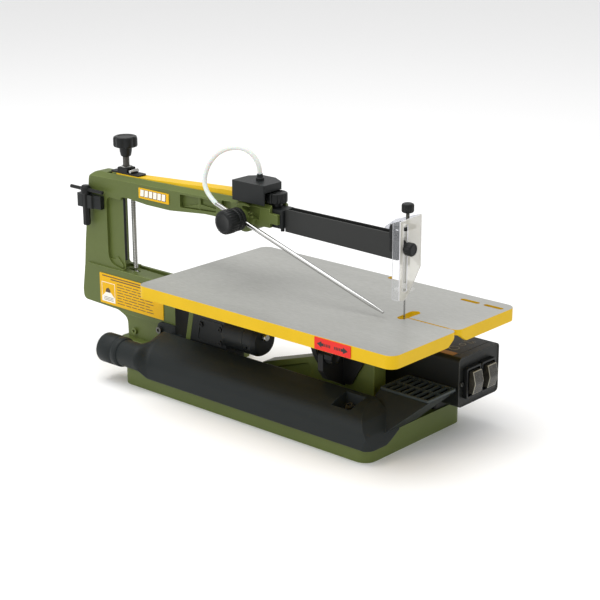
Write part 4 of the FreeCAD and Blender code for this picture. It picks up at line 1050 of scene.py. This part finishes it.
def hose_line():
    """Points along the hose's smooth spline."""
    curve = bpy.data.curves.new("hose_route", "CURVE")
    curve.dimensions = "3D"
    curve.resolution_u = 12
    spline = curve.splines.new("NURBS")
    spline.points.add(len(HOSE_PATH) - 1)
    for point, place in zip(spline.points, HOSE_PATH):
        point.co = (*place, 1.0)
    spline.order_u = 3
    spline.use_endpoint_u = True
    route = bpy.data.objects.new("hose_route", curve)
    bpy.context.scene.collection.objects.link(route)
    bpy.context.view_layer.update()
    mesh = bpy.data.meshes.new_from_object(route.evaluated_get(bpy.context.evaluated_depsgraph_get()))
    points = [vertex.co.copy() for vertex in mesh.vertices]
    bpy.data.objects.remove(route)
    return points


def swept(points, radius, sides=28):
    """Round tube whose rings follow a line of points in metres."""
    rings = []
    guide = Vector((0, 1, 0))
    for index, point in enumerate(points):
        ahead = points[min(index + 1, len(points) - 1)] - points[max(index - 1, 0)]
        ahead.normalize()
        across = (guide - ahead * guide.dot(ahead)).normalized()
        upward = ahead.cross(across)
        guide = across
        ring = []
        for side in range(sides):
            angle = 2 * math.pi * side / sides
            offset = across * math.cos(angle) + upward * math.sin(angle)
            ring.append((point + offset * radius) / MM)
        rings.append(ring)
    return loft(rings)


def make_hose():
    """Milky air hose from the pump port to the nozzle tube."""
    points = hose_line()
    hose = swept(points, HOSE_DIAMETER / 2)
    hose.name = "air_hose_tube"
    hose.data.shade_smooth()
    hose.data.set_sharp_from_angle(angle=SMOOTH_ANGLE)
    hose.data.materials.append(HOSE_PLASTIC)
    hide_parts("air_hose")
    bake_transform(hose)


make_nozzle()
make_hose()

# ---------------------------------------------------------------- dust duct along the near side


def duct_ring(x):
    """Rounded cross-section of the duct's body at one X."""
    corners = [(-38, 25.2), (-38, 57, 3), (-63, 52.6, 60), (-84.5, 42, 60), (-90, 17, 2), (-82.3, 17),
               (-82.3, 25.2)]
    return [(x, point[0], point[1]) for point in outline(corners, steps=10)]


def pipe_ring(x, count):
    """Round cross-section that starts beside the body section's first corner."""
    points = []
    for index in range(count):
        angle = math.radians(-42) + 2 * math.pi * index / count
        points.append((x, PIPE_Y + PIPE_RADIUS * math.cos(angle), PIPE_Z + PIPE_RADIUS * math.sin(angle)))
    return points


def eased(first, last, share):
    """Ring part of the way between two rings, with a smooth start and end."""
    weight = share * share * (3 - 2 * share)
    x = first[0][0] + (last[0][0] - first[0][0]) * share
    return [(x, a[1] + (b[1] - a[1]) * weight, a[2] + (b[2] - a[2]) * weight) for a, b in zip(first, last)]


def corner_cutter(x, y, radius):
    """Cutter that rounds the duct's near front corner in plan."""
    arc = []
    for step in range(9):
        angle = math.radians(-90 + 90 * step / 8)
        arc.append((x - radius + radius * math.cos(angle), y + radius + radius * math.sin(angle)))
    return prism(arc + [(x + 6, y + radius), (x + 6, y - 6), (x - radius, y - 6)], "z", 5, 70)


def make_duct():
    """Hollow dust duct: long rounded body, round rear pipe and front funnel."""
    body_end = duct_ring(-134)
    count = len(body_end)
    shoulder = [eased(pipe_ring(-154, count), body_end, step / 12) for step in range(13)]
    shoulder = [[(x - 0.45 * (y + 85), y, z) for x, y, z in ring] for ring in shoulder]
    rings = [pipe_ring(-199, count)] + shoulder
    rings += [duct_ring(x) for x in (-110, -50, 10, 70, 130, 191)]
    body = loft(rings)
    nose_side = outline([(190.8, 10), (190, 19, 8), (184, 31, 12), (174, 43.5, 14), (161, 54, 12),
                         (148, 60.4), (220, 70), (220, 10)])
    funnel = loft([[(146, -60, 25.4), (183, -60, 25.4), (183, -4, 25.4), (146, -4, 25.4)],
                   [(149, -42, 42), (199, -42, 42), (199, 10, 42), (149, 10, 42)],
                   [(152, -24, 58.1), (215, -24, 58.1), (215, 24, 58.1), (152, 24, 58.1)]])
    lug = shaped([(-186, 38, 4), (-158, 38), (-158, 57, 3), (-190, 57, 8)], "y", -19.5, -15.2)
    arm = block(-166, -150, -44, -15.2, 38, 47)
    skirt = prism([(-87, 17.2), (-60, 17.2), (-34, 26), (-34, 30), (-87, 30)], "x", 183.4, 190.4)
    fused(body, skirt)
    carved(body, prism(nose_side, "y", -120, 0), corner_cutter(191, -90, 15))
    fused(body, funnel, lug, arm)
    bore = round_bar((-210, PIPE_Y, PIPE_Z), (-166, PIPE_Y, PIPE_Z), 13)
    chute = loft([[(150, -56, 28.2), (176, -56, 28.2), (176, -8, 28.2), (150, -8, 28.2)],
                  [(155, -21, 60), (212, -21, 60), (212, 21, 60), (155, 21, 60)]])
    bay = loft([[(127.5, -66, 40), (150.5, -66, 40), (150.5, -49, 43.2), (127.5, -49, 43.2)],
                [(124, -84, 66), (154, -84, 66), (154, -44, 66), (124, -44, 66)]])
    carved(body, bore, chute, bay)
    finish(body, "duct_shell", "frame", DUCT_PLASTIC, ["duct_body", "duct_pipe"], 1.3, 3,
           32)
    # The upward faces inside the chute under the grille are painted near-black, a painted shade.
    paint_where(body, DUCT_PAINTED_SHADE, lambda middle, normal:
                middle.x > 152 and abs(middle.y) < 20 and middle.z < 57 and normal.z > 0.2)


def make_grille():
    """Slotted inlet grille: frame, middle bar and cross bars."""
    x0, x1, y0, y1, z0, z1 = extent("duct_grille")
    plate = slab(x0, x1, y0, y1, 2, "z", z0, z1)
    cutters = []
    rows = 7
    pitch = (x1 - x0 - 4) / rows
    for row in range(rows):
        start = x0 + 2.9 + row * pitch
        for low, high in ((y0 + 2.4, -1), (1, y1 - 2.4)):
            cutters.append(block(start, start + pitch - 1.9, low, high, 50, 70))
    carved(plate, gathered(*cutters))
    finish(plate, "duct_grille_bars", "frame", GRILLE_PLASTIC, ["duct_grille"], 0.35, 2)


def make_collar():
    """Turning hose collar with a rolled lip and a shallow groove."""
    x0, x1, y0, y1, z0, z1 = extent("duct_collar")
    centre = (x0, (y0 + y1) / 2, (z0 + z1) / 2)
    length = x1 - x0
    radius = (y1 - y0) / 2
    profile = [(14.4, 1.0), (14.8, 0.3), (15.4, 0), (radius - 1, 0), (radius - 0.3, 0.5), (radius, 1.4),
               (radius, 20), (radius - 0.8, 21), (radius - 0.8, 23.4), (radius, 24.4),
               (radius, length - 2.4), (radius - 0.7, length - 0.8), (radius - 1.5, length)]
    shell = turned(profile, centre, (1, 0, 0), 96)
    carved(shell, round_bar((x0 - 5, centre[1], centre[2]), (x0 + 11, centre[1], centre[2]), 14),
           round_bar((x0 + 10.3, centre[1], centre[2]), (x1 + 5, centre[1], centre[2]), 15.56))
    finish(shell, "duct_collar_shell", "hose_collar", DUCT_PLASTIC, ["duct_collar"])


make_duct()
make_grille()
make_collar()
dress("cover_screws", SCREW_STEEL)

# ---------------------------------------------------------------- control box


def top_mark(points, z, thickness=0.12):
    """Thin printed shape on a top face, from X-Y points."""
    return prism(points, "z", z - 0.02, z + thickness)


def make_control_box():
    """Rounded switch box with a raised front rim and a small generic label."""
    x0, x1, y0, y1, z0, z1 = 106, 215, 28, 100, 37, 92
    shell = slab(y0, y1, z0, z1, 5, "x", x0, x1)
    recess = slab(y0 + 1.6, y1 - 1.6, z0 + 1.6, z1 - 1.6, 4, "x", x1 - 0.6, x1 + 3)
    foot = slab(160, 181, 34, 78, 3, "z", 25, 39)
    fused(shell, foot)
    carved(shell, recess, block(x1 - 9.5, x1 - 8.6, y0 + 6, y1 - 6, z1 - 0.4, z1 + 1))
    finish(shell, "switch_box_shell", "frame", BOX_PLASTIC, ["control_box"], 0.9, 3)
    label = top_mark([(181, 33), (203, 33), (203, 42), (181, 42)], z1)
    finish(label, "switch_box_label", "frame", LABEL_BROWN)
    rings = [turned([(outer, 0), (outer, 0.12)], (190, y, z1), (0, 0, 1)) for y, outer in ((53, 6), (68, 4))]
    rings = [carved(ring, round_bar((190, y, z1 - 2), (190, y, z1 + 2), inner))
             for ring, y, inner in zip(rings, (53, 68), (4.8, 2.9))]
    dashes = [top_mark([(183, y), (197, y), (197, y + 0.8), (183, y + 0.8)], z1) for y in (76, 79, 82)]
    finish(gathered(*rings, *dashes), "switch_box_marks", "frame", LABEL_GREY)


def make_switches():
    """Deep black bezels and two smoked rocker paddles with pale rims."""
    frames = []
    for y0, y1 in ((36, 61), (62.5, 87.5)):
        frame_piece = slab(y0, y1, 46, 80, 2, "x", 214.6, 220)
        well = slab(y0 + 2.2, y1 - 2.2, 48.4, 77.6, 1, "x", 215.3, 222)
        frames.append(carved(frame_piece, well))
    finish(gathered(*frames), "switch_frames", "frame", KNOB_PLASTIC, ["switch_bezels"],
           0.5, 2)
    for name, body, y0, y1 in (("power", "power_switch", 41.5, 57.5), ("speed", "speed_switch", 68, 84)):
        side = outline([(217.8, 50.4), (223.4, 50.4, 1.2), (226.4, 63, 8), (223.4, 75.6, 1.2),
                        (217.8, 75.6)])
        paddle = prism(side, "y", y0, y1)
        # The paddles' blotchy colour is painted sheen.
        finish(paddle, name + "_rocker_paddle", body, SMOKED_PAINTED_SHEEN, [name + "_rocker"], 1.0, 2)
        paint_where(paddle, ROCKER_RIM,
                    lambda middle, normal: normal.x < 0.94 and abs(normal.y) < 0.8 and middle.x > 222)


def make_gland():
    """Tapered cable gland with a hexagon flange."""
    profile = [(8, 0), (8, 3.4), (7.4, 4), (6, 4.2), (5.6, 8), (5.4, 8.4), (5.0, 12), (4.5, 15.6), (3.6, 16)]
    finish(turned(profile, (-183, 52, 13), (-1, 0, 0)), "cable_gland_body", "frame",
           BLACK_PLASTIC, ["cable_gland"], 0.3, 2)


make_control_box()
make_switches()
make_gland()

# ---------------------------------------------------------------- tool clip and key


def make_tool_clip():
    """Split clip that wraps the upright's rear edge and holds the key's shank."""
    plan = outline([(-318, 9), (-318, -25, 3), (-279, -25, 3), (-279, -15.2), (-312.5, -15.2), (-312.5, 9)])
    clip = prism(plan, "z", 177, 193)
    carved(clip, round_bar((-303, -22.5, 170), (-303, -22.5, 200), 5), block(-307.4, -298.6, -30, -22, 170,
                                                                             200),
           prism([(-292, -27), (-276, -27), (-276, -20.6), (-290, -22.4)], "z", 170, 200))
    finish(clip, "key_clip", "frame", BLACK_PLASTIC, ["tool_clip"], 0.8, 3)


def make_key():
    """T-handled hexagon key with rounded handle ends."""
    y = -22.5
    handle = turned([(1.2, 0), (2.2, 0.8), (2.2, 57.2), (1.2, 58)], (-330, y, 199), (1, 0, 0), 32)
    hub = turned([(5.2, 0), (6, 1), (6, 8), (4.4, 10.5)], (-303, y, 193.5), (0, 0, 1), 48)
    shank = turned([(3.6, 0), (4.6, 1.2), (4.6, 39)], (-303, y, 155), (0, 0, 1), 6)
    finish(fused(hub, handle, shank), "t_handle_key", "key", BLACK_METAL, ["hex_key"], 0.3, 2)


make_tool_clip()
make_key()

# ---------------------------------------------------------------- floor and light


def make_floor():
    """Pale studio floor that isn't part of the saw."""
    bm = bmesh.new()
    bmesh.ops.create_grid(bm, x_segments=1, y_segments=1, size=6)
    floor = to_object(bm, "studio_floor")
    floor.data.materials.append(surface("studio_floor", rgb(250, 250, 250), 0.9, tint=0.002, patch=2.0,
                                        depth=0.0))


def area_light(name, place, target, size, power):
    """Soft square lamp that faces a point."""
    data = bpy.data.lights.new(name, "AREA")
    data.size = size
    data.energy = power
    lamp = bpy.data.objects.new(name, data)
    lamp.location = place
    lamp.rotation_euler = (Vector(target) - Vector(place)).to_track_quat("-Z", "Y").to_euler()
    bpy.context.scene.collection.objects.link(lamp)


def make_light():
    """White surroundings with a large soft lamp above and a weak one from the near side."""
    world = bpy.data.worlds.new("studio")
    world.use_nodes = True
    world.node_tree.nodes["Background"].inputs["Color"].default_value = (1, 1, 1, 1)
    world.node_tree.nodes["Background"].inputs["Strength"].default_value = 0.80
    bpy.context.scene.world = world
    area_light("top_light", (-0.3, -0.2, 2.2), (0, 0, 0.1), 1.8, 30)
    area_light("near_light", (-0.7, -1.6, 1.3), (0, 0, 0.1), 1.0, 6)
    bpy.context.scene.view_settings.view_transform = "Standard"


make_floor()
make_light()
